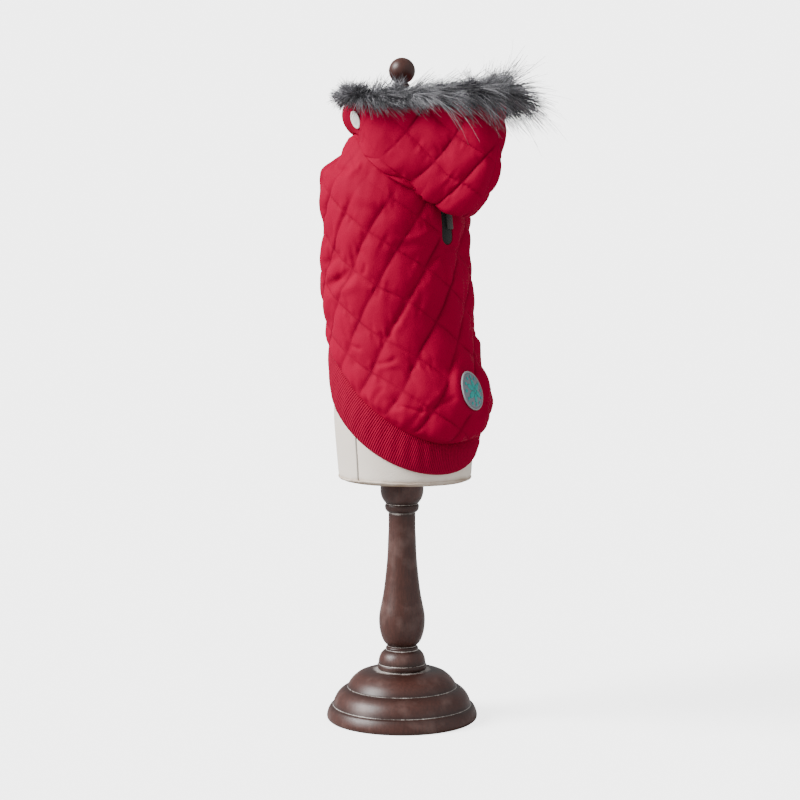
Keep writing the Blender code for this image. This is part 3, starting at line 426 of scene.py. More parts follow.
Wrinkle = namedtuple("Wrinkle", "along up end_along end_up depth width")
COAT_WRINKLES = (
    Wrinkle(150, 452, 118, 462, -2.6, 4.0), Wrinkle(130, 470, 114, 512, 1.3, 4.5),
    Wrinkle(148, 428, 104, 446, -3.4, 4.2), Wrinkle(142, 418, 100, 434, 2.2, 5.0),
    Wrinkle(74, 380, 46, 424, -1.6, 2.6), Wrinkle(46, 424, 33, 446, -1.7, 3.0),
    Wrinkle(33, 446, 10, 463, -1.5, 3.0), Wrinkle(66, 382, 38, 428, 1.1, 5.0),
    Wrinkle(38, 428, 6, 458, 1.2, 5.0), Wrinkle(56, 475, 18, 484, 1.3, 4.0),
    Wrinkle(54, 467, 20, 475, -1.0, 4.0), Wrinkle(117, 373, 100, 374, -1.6, 2.2),
    Wrinkle(87, 357, 66, 363, -1.7, 2.4), Wrinkle(90, 352, 66, 357, 1.0, 2.6),
    Wrinkle(73, 317, 47, 315, -1.5, 2.4), Wrinkle(80, 312, 66, 318, 1.0, 3.0),
    Wrinkle(37, 323, 18, 327, -1.7, 2.6), Wrinkle(42, 320, 24, 343, 1.4, 3.2),
    Wrinkle(7, 462, 8, 432, -1.7, 2.6), Wrinkle(0, 455, 2, 428, 0.9, 3.5),
    Wrinkle(94, 443, 86, 452, -1.2, 2.2), Wrinkle(112, 535, 95, 546, 1.6, 4.0),
    Wrinkle(145, 547, 104, 536, -2.0, 4.0), Wrinkle(-16, 446, -28, 414, -1.5, 3.0),
    Wrinkle(57, 353, 42, 364, -1.2, 2.4), Wrinkle(100, 520, 60, 508, 1.2, 7.0),
    Wrinkle(96, 508, 58, 497, -1.0, 6.0), Wrinkle(105, 470, 96, 440, -1.0, 3.0),
    Wrinkle(124, 400, 108, 352, -1.3, 3.5), Wrinkle(60, 300, 52, 318, -1.2, 2.6),
    Wrinkle(20, 296, 14, 312, -1.1, 2.6), Wrinkle(96, 322, 84, 336, -1.2, 2.6),
    Wrinkle(-34, 300, -28, 318, -1.2, 2.8), Wrinkle(-60, 330, -44, 322, -1.4, 2.6),
    Wrinkle(-76, 372, -52, 384, -1.4, 2.8), Wrinkle(-80, 364, -56, 376, 1.0, 3.2),
    Wrinkle(-58, 432, -30, 462, -1.7, 3.0), Wrinkle(-66, 430, -38, 462, 1.1, 4.5),
    Wrinkle(-100, 420, -122, 455, -1.8, 3.6), Wrinkle(-92, 424, -114, 460, 1.1, 4.5),
    Wrinkle(-134, 505, -118, 452, -2.0, 4.0), Wrinkle(-90, 505, -56, 492, 1.2, 6.0),
    Wrinkle(-140, 440, -112, 432, -1.5, 3.5), Wrinkle(-100, 345, -82, 340, -1.4, 2.6),
    Wrinkle(-118, 380, -104, 350, -1.2, 3.2), Wrinkle(-18, 470, -24, 440, -1.2, 3.0),
    Wrinkle(-108, 540, -92, 548, 1.3, 4.0), Wrinkle(-40, 400, -22, 380, -1.1, 2.6),
    Wrinkle(180, 560, 138, 549, -2.0, 4.6), Wrinkle(187, 546, 140, 538, 1.2, 5.0),
)


def wrinkle_relief(along, up, wrinkles):
    """Soft troughs and ridges along short lines, fading to both ends."""
    total = 0.0
    for line in wrinkles:
        run_along, run_up = line.end_along - line.along, line.end_up - line.up
        length = math.hypot(run_along, run_up)
        x, y = along - line.along, up - line.up
        part = (x * run_along + y * run_up) / length ** 2
        off = (x * run_up - y * run_along) / length + 1.2 * np.sin(part * 5 + line.along)
        fade = np.exp(-np.maximum(np.abs(part - 0.5) - 0.3, 0) ** 2 / (2 * 0.14 ** 2))
        total = total + line.depth * fade * np.exp(-(off / line.width) ** 2)
    return total


def edge_share(distance, width=FLATTEN_WIDTH):
    return ease(distance / width)


# ---- mesh helpers ------------------------------------------------------------------------------
def new_piece(name, mesh, finish, node_names):
    mesh.materials.clear()
    mesh.materials.append(finish)
    mesh.shade_smooth()
    piece = bpy.data.objects.new(name, mesh)
    bpy.context.scene.collection.objects.link(piece)
    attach(piece, BODY)
    if node_names:
        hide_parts(*node_names)
    return piece


def mesh_from(name, points, faces):
    mesh = bpy.data.meshes.new(name)
    mesh.from_pydata([tuple(p) for p in np.asarray(points).reshape(-1, 3)], [], faces)
    mesh.validate()
    return mesh


def grid_faces(rows, columns, wrap_columns=False, wrap_rows=False, offset=0, flip=False):
    faces = []
    for i in range(rows if wrap_rows else rows - 1):
        for j in range(columns if wrap_columns else columns - 1):
            after_i = (i + 1) % rows
            after_j = (j + 1) % columns
            face = (i * columns + j, i * columns + after_j, after_i * columns + after_j,
                    after_i * columns + j)
            face = tuple(k + offset for k in face)
            faces.append(face[::-1] if flip else face)
    return faces


def closed_shell(name, outer, inner):
    """A closed sheet from grids of its outer and inner face."""
    rows, columns = outer.shape[:2]
    count = rows * columns
    faces = grid_faces(rows, columns) + grid_faces(rows, columns, offset=count, flip=True)
    rim = ([(0, j) for j in range(columns)] + [(i, columns - 1) for i in range(1, rows)]
           + [(rows - 1, j) for j in range(columns - 2, -1, -1)]
           + [(i, 0) for i in range(rows - 2, 0, -1)])
    index = [i * columns + j for i, j in rim]
    for k, low in enumerate(index):
        after = index[(k + 1) % len(index)]
        faces.append((after, low, low + count, after + count))
    mesh = mesh_from(name, np.concatenate([outer.reshape(-1, 3), inner.reshape(-1, 3)]), faces)
    return facing_out(mesh)


def store(mesh, name, values):
    """Keeps one value for each vertex where a material can read it."""
    attribute = mesh.attributes.new(name, "FLOAT", "POINT")
    attribute.data.foreach_set("value", np.asarray(values, np.float32).ravel())


def facing_out(mesh):
    bm = bmesh.new()
    bm.from_mesh(mesh)
    bmesh.ops.recalc_face_normals(bm, faces=bm.faces)
    if bm.calc_volume(signed=True) < 0:
        bmesh.ops.reverse_faces(bm, faces=bm.faces)
    bm.to_mesh(mesh)
    bm.free()
    return mesh


def hoop_mesh(name, sections):
    """A closed ring from its cross sections, an array of sections by points."""
    rows, columns = sections.shape[:2]
    return facing_out(mesh_from(name, sections, grid_faces(rows, columns, True, True)))


def capped_mesh(name, rings):
    """A solid from rings one after another, closed at its first and last ring."""
    rows, columns = rings.shape[:2]
    faces = grid_faces(rows, columns, wrap_columns=True)
    faces.append(tuple(range(columns)))
    faces.append(tuple(range((rows - 1) * columns, rows * columns))[::-1])
    return facing_out(mesh_from(name, rings, faces))


# ---- materials ---------------------------------------------------------------------------------
RED_SHEEN = (1.0, 0.2, 0.35, 1.0)


def add_node(tree, kind, values=None, **settings):
    """Adds a shader node: values sets or links its inputs, settings its own choices."""
    made = tree.nodes.new(kind)
    for name, value in settings.items():
        setattr(made, name, value)
    for key, value in (values or {}).items():
        if isinstance(value, bpy.types.NodeSocket):
            tree.links.new(value, made.inputs[key])
        else:
            made.inputs[key].default_value = value
    return made


def new_finish(name, **constants):
    """A material and its nodes, with constants set on its shader's sockets."""
    made = bpy.data.materials.new(name)
    made.use_nodes = True
    shader = made.node_tree.nodes["Principled BSDF"]
    for key, value in constants.items():
        shader.inputs[key.replace("_", " ")].default_value = value
    return made, made.node_tree


def finished(made, **sockets):
    """Links values to the inputs of a material's shader."""
    shader = made.node_tree.nodes["Principled BSDF"]
    for key, socket in sockets.items():
        made.node_tree.links.new(socket, shader.inputs[key.replace("_", " ")])
    return made


def object_place(tree, *widths):
    """Places on the piece, counted in one width or in a width each way, in metres."""
    per_metre = [1 / width for width in widths] * (3 // len(widths))
    place = add_node(tree, "ShaderNodeTexCoord")
    return add_node(tree, "ShaderNodeVectorMath", {0: place.outputs["Object"], 1: per_metre},
                    operation="MULTIPLY").outputs[0]


def noise(tree, *widths, **values):
    """Cloudy values from 0 to 1, with hills about as wide as given."""
    return add_node(tree, "ShaderNodeTexNoise",
                    {"Vector": object_place(tree, *widths), "Scale": 1.0,
                     **values}).outputs["Fac"]


def stored(tree, name):
    """Values that the mesh keeps for each vertex."""
    return add_node(tree, "ShaderNodeAttribute", attribute_name=name).outputs["Fac"]


def blend(tree, share, first, second):
    """The first colour where share is 0, the second where it is 1."""
    return add_node(tree, "ShaderNodeMix", {0: share, 6: first, 7: second},
                    data_type="RGBA").outputs[2]


def worked_out(tree, operation, *values):
    return add_node(tree, "ShaderNodeMath", dict(enumerate(values)),
                    operation=operation).outputs[0]


def ranged(tree, value, low, high, to_low=0.0, to_high=1.0):
    """Values from low to high, spread from to_low to to_high."""
    return add_node(tree, "ShaderNodeMapRange",
                    {"Value": value, "From Min": low, "From Max": high, "To Min": to_low,
                     "To Max": to_high}).outputs[0]


def bump(tree, strength, distance, height, **values):
    return add_node(tree, "ShaderNodeBump", {"Strength": strength, "Distance": distance,
                                             "Height": height, **values}).outputs[0]


def toned(colour, share=1.0):
    """The colour with an alpha, made darker or lighter by share."""
    return tuple(c * share for c in colour[:3]) + (1.0,)


def quilted_polyester(colours):
    """Woven polyester taffeta over wadding: soft broad sheen, thread texture only close to."""
    made, tree = new_finish("woven_polyester_over_wadding", Roughness=0.62, IOR=1.52,
                            Specular_IOR_Level=0.02, Sheen_Weight=0.01, Sheen_Roughness=0.4,
                            Sheen_Tint=RED_SHEEN)
    uneven = blend(tree, noise(tree, 1.0, Scale=26.0, Detail=4.0), toned(colours.cloth, 0.86),
                   toned(colours.cloth, 1.14))
    # painted shade along the stitching rows, down to a quarter of the cloth's colour
    shaded = blend(tree, stored(tree, "painted_stitch_shade"), uneven, toned(colours.cloth, 0.25))
    # threads of 0.3 mm are finer than a pixel, so they are drawn 0.9 mm apart
    threads = bump(tree, 0.18, 0.0003, noise(tree, 0.0009, Detail=2.0))
    crumple = noise(tree, 0.009, Detail=3.0, Distortion=0.6)
    return finished(made, Base_Color=shaded,
                    Normal=bump(tree, 0.30, 0.0011, crumple, Normal=threads))


def plain_polyester(colours):
    """The same woven polyester without wadding."""
    made, tree = new_finish("plain_woven_polyester", Roughness=0.65, IOR=1.52,
                            Specular_IOR_Level=0.02, Sheen_Weight=0.01, Sheen_Roughness=0.5,
                            Sheen_Tint=RED_SHEEN)
    uneven = blend(tree, noise(tree, 0.02, Detail=3.0), toned(colours.cloth, 0.828),
                   toned(colours.cloth, 1.012))
    return finished(made, Base_Color=uneven, Normal=bump(tree, 0.25, 0.0004, noise(tree, 0.001)))


def rib_knit(colours):
    """Cotton and elastane rib knit: matte, with a bloom of loose fibre."""
    made, tree = new_finish("cotton_rib_knit", Roughness=0.86, IOR=1.5, Specular_IOR_Level=0.05,
                            Sheen_Weight=0.05, Sheen_Roughness=0.6, Sheen_Tint=RED_SHEEN)
    # painted shade in the grooves between ribs, painted light on their crests
    groove_shaded = blend(tree, stored(tree, "rib_painted_shading"), toned(colours.rib, 0.62),
                   toned(colours.rib, 1.1))
    loops = noise(tree, 0.0012, Detail=2.0)
    return finished(made, Base_Color=groove_shaded, Normal=bump(tree, 0.5, 0.0005, loops))


def modacrylic_fur(colours):
    """Long modacrylic pile: soft highlights along each hair, pale at the root, dark at the tip."""
    made, tree = new_finish("modacrylic_pile", Roughness=0.5, IOR=1.54, Specular_IOR_Level=0.35,
                            Sheen_Weight=0.05, Sheen_Roughness=0.5)
    hair = blend(tree, stored(tree, "hair_tone"), toned(colours.fur_dark),
                 toned(colours.fur_pale))
    return finished(made, Base_Color=hair)


def cotton_canvas(colours, name="cotton_canvas", share=1.0):
    """Unbleached cotton canvas, plain weave, stained brown along its lower edge. Share darkens it
    all.
    """
    made, tree = new_finish(name, Roughness=0.92, IOR=1.5, Sheen_Weight=0.1)
    place = add_node(tree, "ShaderNodeTexCoord")
    split = add_node(tree, "ShaderNodeSeparateXYZ", {0: place.outputs["Object"]})
    cloud = noise(tree, 0.018, Detail=5.0)
    shift = worked_out(tree, "MULTIPLY_ADD", cloud, 0.010, -0.005)
    height = worked_out(tree, "ADD", split.outputs["Z"], shift)
    mottled = blend(tree, cloud, toned(colours.canvas, 0.94 * share),
                    toned(colours.canvas, 1.02 * share))
    stained = blend(tree, ranged(tree, height, 0.239, 0.2475, 1.0, 0.0), mottled,
                    toned(linear_rgb("94795E")))
    # plain weave of 0.8 mm yarns, drawn at 1.1 mm so that it shows
    weave = noise(tree, 0.0011, Detail=1.0)
    return finished(made, Base_Color=stained, Normal=bump(tree, 0.5, 0.0006, weave))


def limed_wood(colours):
    """Turned hardwood, stained dark and waxed, with white liming wax left in the grooves."""
    made, tree = new_finish("stained_turned_hardwood", IOR=1.5, Specular_IOR_Level=0.4,
                            Coat_Weight=0.15, Coat_Roughness=0.4)
    # grain runs up the turning: lines 1.6 mm apart round it, stretched 12 times along it
    grain = noise(tree, 1 / 640, 1 / 640, 1 / 55, Detail=5.0, Roughness=0.65)
    blotch = noise(tree, 0.02, Detail=4.0)
    wood = blend(tree, grain, toned(colours.wood, 0.2), toned(colours.wood, 1.9))
    waxed = blend(tree, ranged(tree, blotch, 0.5, 0.8, 0.0, 0.35), wood,
                  toned(linear_rgb("8C736C")))
    broken = worked_out(tree, "MULTIPLY", stored(tree, "limed"), grain)
    worn_off = worked_out(tree, "MULTIPLY", broken, blotch)
    # darker within a few millimetres of each groove, so the middle of each moulding stays lighter
    groove_dark = blend(tree, stored(tree, "groove_dark"), waxed, toned(colours.wood, 0.3))
    limed = blend(tree, ranged(tree, worn_off, 0.12, 0.34), groove_dark, toned(linear_rgb("D2CAC4")))
    return finished(made, Base_Color=limed, Roughness=ranged(tree, grain, 0.0, 1.0, 0.34, 0.52),
                    Normal=bump(tree, 0.25, 0.0004, grain))


def woven_tape(name, colour):
    """Woven nylon tape: matte with a fine twill."""
    made, tree = new_finish(name, Roughness=0.85, IOR=1.53, Sheen_Weight=0.15)
    twill = add_node(tree, "ShaderNodeTexWave",
                     {"Vector": object_place(tree, 0.0016), "Scale": 0.5, "Distortion": 0.4},
                     bands_direction="DIAGONAL").outputs["Fac"]
    return finished(made, Base_Color=blend(tree, twill, toned(colour, 0.7), toned(colour, 1.15)),
                    Normal=bump(tree, 0.4, 0.0003, twill))


def moulded(name, colour, roughness, grain_mm, ior):
    """Moulded rubber or plastic with the faint texture of its mould."""
    made, tree = new_finish(name, Roughness=roughness, IOR=ior)
    cloud = noise(tree, grain_mm * MM, Detail=3.0)
    return finished(made, Base_Color=blend(tree, cloud, toned(colour, 0.9), toned(colour, 1.08)),
                    Normal=bump(tree, 0.2, 0.0002, cloud))


# ---- settings ----------------------------------------------------------------------------------
def colour_property(name, description, hex_colour):
    return bpy.props.FloatVectorProperty(name=name, description=description, subtype="COLOR",
                                         size=3, min=0, max=1, default=linear_rgb(hex_colour))


class DogCoatSizes(bpy.types.PropertyGroup):
    """Thicknesses and counts of the soft parts"""
    puff: bpy.props.FloatProperty(
        name="Puff", description="Thickness in the middle of a quilted square", default=0.0056,
        unit="LENGTH", subtype="DISTANCE")
    pucker: bpy.props.FloatProperty(
        name="Pucker", description="Height of the small gathers beside the stitching",
        default=0.00042, unit="LENGTH", subtype="DISTANCE")
    rib_count: bpy.props.IntProperty(
        name="Ribs", description="Number of ribs round the hem", default=247)
    rib_relief: bpy.props.FloatProperty(
        name="Rib relief", description="Height of a rib", default=0.0009, unit="LENGTH",
        subtype="DISTANCE")
    hair_width: bpy.props.FloatProperty(
        name="Hair width", description="Width of a hair at its root", default=0.00068,
        unit="LENGTH", subtype="DISTANCE")
    hair_count: bpy.props.IntProperty(
        name="Hairs", description="Number of short hairs in the trim", default=32000)


class DogCoatColours(bpy.types.PropertyGroup):
    """Colours of the coat, the form and the stand"""
    cloth: colour_property("Cloth", "Quilted and plain polyester", "990430")
    rib: colour_property("Rib", "Rib knit of the hem", "980A31")
    fur_pale: colour_property("Fur, pale", "Roots of the hair", "EDECF1")
    fur_dark: colour_property("Fur, dark", "Tips of the hair", "2E2D32")
    canvas: colour_property("Canvas", "Cover of the dress form", "F2E6D8")
    wood: colour_property("Wood", "Stain of the turned stand", "40211A")
    patch: colour_property("Patch", "Raised petals of the round patch", "22A39D")
    patch_ground: colour_property("Patch ground", "Rubber of the round patch", "7A828B")
    patch_rim: colour_property("Patch rim", "Rubber of the patch's rim", "8E9498")
    snap: colour_property("Snap", "Cap of the snap", "F2F4EE")


# ---- the coat ----------------------------------------------------------------------------------
def slot_distance(along, up):
    sideways = np.abs(along - SLOT_ALONG) - SLOT_HALF_WIDTH
    above = np.maximum(sideways, up - SLOT_TOP)
    below = np.hypot(along - SLOT_ALONG, up - SLOT_BOTTOM - SLOT_HALF_WIDTH) - SLOT_HALF_WIDTH
    return np.where(up > SLOT_BOTTOM + SLOT_HALF_WIDTH, above, below)


def leg_size(along, up):
    centre = math.radians(LEG_ANGLE) * UNROLL_RADIUS
    return np.hypot((np.abs(along) - centre) / LEG_HALF_WIDTH,
                    (up - LEG_HEIGHT) / LEG_HALF_HEIGHT)


def pushed_out_of_slot(along, up):
    """The nearest place on the slot's outline for places inside it."""
    low = SLOT_BOTTOM + SLOT_HALF_WIDTH
    x = along - SLOT_ALONG
    y = np.minimum(up - low, 0.0)
    scale = SLOT_HALF_WIDTH / np.maximum(np.hypot(x, y), 1e-6)
    near_top = up > SLOT_TOP - 3.0
    return (np.where(near_top, along, SLOT_ALONG + x * scale),
            np.where(near_top, SLOT_TOP, np.where(up > low, up, low + y * scale)))


def pushed_out_of_leg(along, up):
    centre = np.sign(along) * math.radians(LEG_ANGLE) * UNROLL_RADIUS
    size = np.maximum(leg_size(along, up), 0.05)
    return centre + (along - centre) / size, LEG_HEIGHT + (up - LEG_HEIGHT) / size


def gathers_at_rib(along, above):
    """Fullness of the cloth drawn in to the rib: short folds that fade upwards."""
    wobble = soft_noise(along, above * 0.4, 60.0, 5)
    waves = (np.sin(along * 2 * math.pi / 12.5 + 2.2 * wobble)
             + 0.55 * np.sin(along * 2 * math.pi / 7.1 + 3.0 * wobble))
    return waves * np.exp(-above / 9.0) * (1 - np.exp(-above / 1.6))


def shoulder_share(along, up):
    """Over the shoulders the cloth is pulled smooth and the quilting hardly shows."""
    line = 500 + 0.10 * (np.abs(along) - 80) + 5 * np.sin(along / 17.0)
    under_hood = ease((24.0 - neck_height(along / UNROLL_RADIUS) + up) / 12.0)
    return (np.maximum(0.72 * ease((up - line) / 26.0), 0.9 * under_hood)
            * ease((np.abs(along) - 22) / 25.0))


def back_panel_thickness(along, up, sizes):
    angle = along / UNROLL_RADIUS
    side = math.radians(BACK_SEAM_ANGLE) * UNROLL_RADIUS
    above = up - rib_seam_height(angle)
    edge = np.minimum.reduce([above, (neck_height(angle) - up) * 2.4, side - np.abs(along),
                              slot_distance(along, up), (leg_size(along, up) - 1) * LEG_HALF_WIDTH])
    loft = quilt_relief(along, up, COAT_QUILT, sizes, 1.0)
    loft = loft + (3.6 - loft) * shoulder_share(along, up)
    loft = loft + 0.35 * soft_noise(along, up, 17.0, 11) * edge_share(edge, 14.0)
    loft = loft + wrinkle_relief(along, up, COAT_WRINKLES) * edge_share(edge, 8.0)
    loft = SEAM_THICKNESS + (loft - SEAM_THICKNESS) * edge_share(edge)
    loft = loft + 0.75 * gathers_at_rib(along, np.maximum(above, 0.0))
    off_patch = np.hypot(along - PATCH_ALONG, up - PATCH_HEIGHT) - PATCH_RADIUS - 1.0
    bed = PATCH_BED + PATCH_LEAN * np.clip(along - PATCH_ALONG, -PATCH_RADIUS, PATCH_RADIUS)
    return np.maximum(bed + (loft - bed) * edge_share(off_patch, 9.0), 0.9)


def back_panel_stitch_shade(along, up):
    """Painted shade along the stitching shows only away from the patch and the panel's own seams.
    """
    side = math.radians(BACK_SEAM_ANGLE) * UNROLL_RADIUS
    edge = np.minimum.reduce([up - rib_seam_height(along / UNROLL_RADIUS), side - np.abs(along),
                              slot_distance(along, up), (leg_size(along, up) - 1) * LEG_HALF_WIDTH,
                              np.hypot(along - PATCH_ALONG, up - PATCH_HEIGHT) - PATCH_RADIUS])
    return (stitch_shade_share(along, up, COAT_QUILT) * edge_share(edge, 5.0)
            * (1 - shoulder_share(along, up)))


def panel_mesh(name, along, up, thickness_of, painted_stitch_shade_of, keep_face, push):
    """An outer face on a grid of places, less its openings, with its edge turned in."""
    rows, columns = along.shape
    along, up = push(along.ravel(), up.ravel())
    outer = coat_place(along, up, thickness_of(along, up))
    inner = coat_place(along, up, 0.2)
    faces = [face for face in grid_faces(rows, columns) if keep_face(face)]
    used = sorted(set(k for face in faces for k in face))
    number = {old: new for new, old in enumerate(used)}
    faces = [tuple(number[k] for k in face) for face in faces]
    runs = {(face[i], face[(i + 1) % 4]) for face in faces for i in range(4)}
    rim = sorted(run for run in runs if run[::-1] not in runs)
    turned = {k: len(used) + i for i, k in enumerate(sorted({k for run in rim for k in run}))}
    faces += [(after, first, turned[first], turned[after]) for first, after in rim]
    points = np.concatenate([outer[used], inner[used][list(turned)]])
    mesh = mesh_from(name, points, faces)
    # painted shade along the stitching, on the outer face only
    painted_stitch_shade = np.zeros(len(points))
    painted_stitch_shade[:len(used)] = painted_stitch_shade_of(along, up)[used]
    store(mesh, "painted_stitch_shade", painted_stitch_shade)
    bm = bmesh.new()
    bm.from_mesh(mesh)
    bmesh.ops.recalc_face_normals(bm, faces=bm.faces)
    lean = sum(f.normal.xy.dot(f.calc_center_median().xy) * f.calc_area() for f in bm.faces)
    if lean < 0:
        bmesh.ops.reverse_faces(bm, faces=bm.faces)
    bm.to_mesh(mesh)
    bm.free()
    return mesh


def back_panel_mesh(sizes, columns, rows):
    side = math.radians(BACK_SEAM_ANGLE) * UNROLL_RADIUS - SEAM_GAP
    along = np.linspace(-side, side, columns)[None, :].repeat(rows, 0)
    low = rib_seam_height(along / UNROLL_RADIUS) - SEAM_TUCK
    high = neck_height(along / UNROLL_RADIUS)
    up = low + (high - low) * np.linspace(0, 1, rows)[:, None]
    flat_along, flat_up = along.ravel(), up.ravel()
    in_slot = slot_distance(flat_along, flat_up) < 0
    in_leg = leg_size(flat_along, flat_up) < 1

    def keep(face):
        return not (all(in_slot[k] for k in face) or all(in_leg[k] for k in face))

    def push(x, y):
        slot_x, slot_y = pushed_out_of_slot(x, y)
        leg_x, leg_y = pushed_out_of_leg(x, y)
        return (np.where(in_slot, slot_x, np.where(in_leg, leg_x, x)),
                np.where(in_slot, slot_y, np.where(in_leg, leg_y, y)))

    return panel_mesh("coat_back", along, up,
                      lambda x, y: back_panel_thickness(x, y, sizes), back_panel_stitch_shade, keep,
                      push)


def belly_thickness(along, up):
    angle = along / UNROLL_RADIUS
    above = up - rib_seam_height(angle)
    edge = np.minimum(above, neck_height(angle) - up)
    loft = PLAIN_THICKNESS + 0.35 * soft_noise(along, up, 26.0, 21) * edge_share(edge, 12.0)
    return loft + 0.5 * gathers_at_rib(along, np.maximum(above, 0.0))


def belly_panel_mesh(columns, rows):
    middle = math.pi * UNROLL_RADIUS
    half = (math.pi - math.radians(BACK_SEAM_ANGLE)) * UNROLL_RADIUS - SEAM_GAP
    along = np.linspace(middle - half, middle + half, columns)[None, :].repeat(rows, 0)
    low = rib_seam_height(along / UNROLL_RADIUS) - SEAM_TUCK
    high = neck_height(along / UNROLL_RADIUS)
    up = low + (high - low) * np.linspace(0, 1, rows)[:, None]

    def folded(x):
        return np.where(x > middle, x - 2 * middle, x)

    in_leg = leg_size(folded(along.ravel()), up.ravel()) < 1

    def keep(face):
        return not all(in_leg[k] for k in face)

    def push(x, y):
        leg_x, leg_y = pushed_out_of_leg(folded(x), y)
        leg_x = np.where(x > middle, leg_x + 2 * middle, leg_x)
        return np.where(in_leg, leg_x, x), np.where(in_leg, leg_y, y)

    return panel_mesh("coat_belly", along, up, belly_thickness, lambda x, y: 0 * x, keep, push)


def hem_rib_mesh(sizes):
    """Ribs side by side round the hem, leaning as the band is pulled over the hips."""
    each = 6
    columns = sizes.rib_count * each
    rows = 16
    turn = np.arange(columns) * 2 * math.pi / columns
    height_on_rib = np.abs(np.sin(math.pi * np.arange(columns) / each)) ** 0.7
    lean = RIB_LEAN * np.sin(turn - math.radians(RIB_SEAM_TURN))

    def row(share, swell):
        angle = turn + lean * (2 * share - 1)
        top = rib_seam_height(turn - lean) + SEAM_TUCK
        height = top + (hem_height(turn + lean) - top) * share
        return rib_face(angle, height, swell + 0 * angle)

    rings = []
    tones = []
    for share in np.linspace(0, 1, rows):
        wave = 0.35 * np.sin(turn * 37 + 5 * share) * math.sin(math.pi * share)
        swell = RIB_BARREL * math.sin(math.pi * share) ** 0.8
        turned_in = 1.4 * ease((share - 0.93) / 0.07) + 0.8 * ease((0.05 - share) / 0.05)
        relief = sizes.rib_relief / MM * height_on_rib
        rings.append(row(share, swell + wave + RIB_THICKNESS + relief - turned_in))
        tones.append(height_on_rib)
    for share in (1.0, 0.5, 0.0):
        rings.append(row(share, RIB_BARREL * math.sin(math.pi * share)))
        tones.append(0 * height_on_rib)
    mesh = hoop_mesh("hem_rib", np.array(rings) * MM)
    # the rib height is kept to paint shade in the grooves
    store(mesh, "rib_painted_shading", tones)
    return mesh


def leg_binding_mesh(name, side, count=96):
    turn = np.arange(count) * 2 * math.pi / count
    centre = side * math.radians(LEG_ANGLE) * UNROLL_RADIUS
    rows = []
    for k in range(9):
        tilt = math.pi * k / 8
        shrink = SEAM_GAP + BINDING_WIDTH * (1 - math.cos(tilt)) / 2
        level = 0.3 + (BINDING_THICKNESS - 0.3) * math.sin(tilt) ** 0.7 if 0 < k < 8 else 0.3
        gather = 0.12 * np.sin(turn * 40)
        rows.append(coat_place(centre + (LEG_HALF_WIDTH - shrink) * np.cos(turn),
                               LEG_HEIGHT + (LEG_HALF_HEIGHT - shrink) * np.sin(turn),
                               level + gather))
    return hoop_mesh(name, np.array(rows).transpose(1, 0, 2))


# ---- the hood ----------------------------------------------------------------------------------
def stretched_round(share, line, start_angle):
    distance = line.crown_y - line.neck_y
    touch = math.pi / 2 - math.asin((line.neck_radius - line.crown_radius) / distance)
    arc_neck = line.neck_radius * (start_angle - touch)
    straight = distance * math.sin(touch)
    arc_crown = line.crown_radius * touch
    length = share * (arc_neck + straight + arc_crown)
    angle_neck = start_angle - length / line.neck_radius
    part = (length - arc_neck) / straight
    radius = line.neck_radius + (line.crown_radius - line.neck_radius) * part
    angle_crown = touch - (length - arc_neck - straight) / line.crown_radius
    on_neck = length < arc_neck
    on_side = length < arc_neck + straight
    x = np.where(on_neck, line.neck_radius * np.sin(angle_neck),
                 np.where(on_side, radius * math.sin(touch),
                          line.crown_radius * np.sin(angle_crown)))
    y = np.where(on_neck, line.neck_y + line.neck_radius * np.cos(angle_neck),
                 np.where(on_side, line.neck_y + distance * part + radius * math.cos(touch),
                          line.crown_y + line.crown_radius * np.cos(angle_crown)))
    return x, y


def hood_face(share, place):
    """Inner face of the hood's left half, share from its front to the centre back."""
    shape = np.broadcast(share, place).shape
    share = np.broadcast_to(share, shape).ravel()
    place = np.broadcast_to(place, shape).ravel()
    mirrored = np.where(share > 1, -1.0, 1.0)
    share = np.where(share > 1, 2 - share, share)
    front = math.radians(HOOD_FRONT_ANGLE)
    angle = front * (1 - share) ** 1.15
    start = coat_face(angle, neck_height(angle))
    over = ease(share / 0.16) * ease((0.86 - share) / 0.2)
    away = level_outward(COAT_SECTIONS, angle, start[:, 2])
    start = start + away * (1.6 + 4.0 * over)[:, None]
    start[:, 2] += 0.2 - 6.0 * over
    x, y = stretched_round(share, HOOD_FOLD, front)
    sagging = 3.5 * ease((share - 0.45) / 0.2) * ease((0.95 - share) / 0.2)
    fold_z = np.maximum(FOLD_SIDE_HEIGHT - FOLD_FALL * y - sagging,
                        start[:, 2] + 3.5 - 30 * ease(share * 2.2 - 0.9))
    fold = np.stack([x, y, fold_z], -1)
    # where the shoulders are wider than the hood it runs straight up from its overhanging edge
    short = np.maximum(2.0 - ((fold - start) * away).sum(1), 0.0) * ease((0.8 - share) / 0.2)
    fold = fold + away * short[:, None]
    x, y = stretched_round(share, HOOD_RIM, front)
    edge = np.stack([x, y, RIM_HEIGHT + 0 * x], -1)
    leaning_in = ease(-((edge - fold) * away).sum(1) / 10.0)[:, None]
    keys = []
    spots = []
    for part in (0.0, 0.35, 0.7):
        level = start + (fold - start) * part
        level[:, 2] = start[:, 2] + (fold[:, 2] - start[:, 2]) * part ** 2.4
        keys.append(FOLD_PLACE * part)
        spots.append(level)
    for part in (0.0, 0.1, 0.22, 0.38, 0.6, 1.0):
        level = fold + (edge - fold) * (part + (1 - (1 - part) ** 4 - part) * (1 - leaning_in))
        level[:, 2] = fold[:, 2] + (edge[:, 2] - fold[:, 2]) * part
        keys.append(FOLD_PLACE + (1 - FOLD_PLACE) * part)
        spots.append(level)
    points = smooth_curve(keys, np.array(spots), place)
    points[:, 0] *= mirrored
    return points.reshape(shape + (3,))


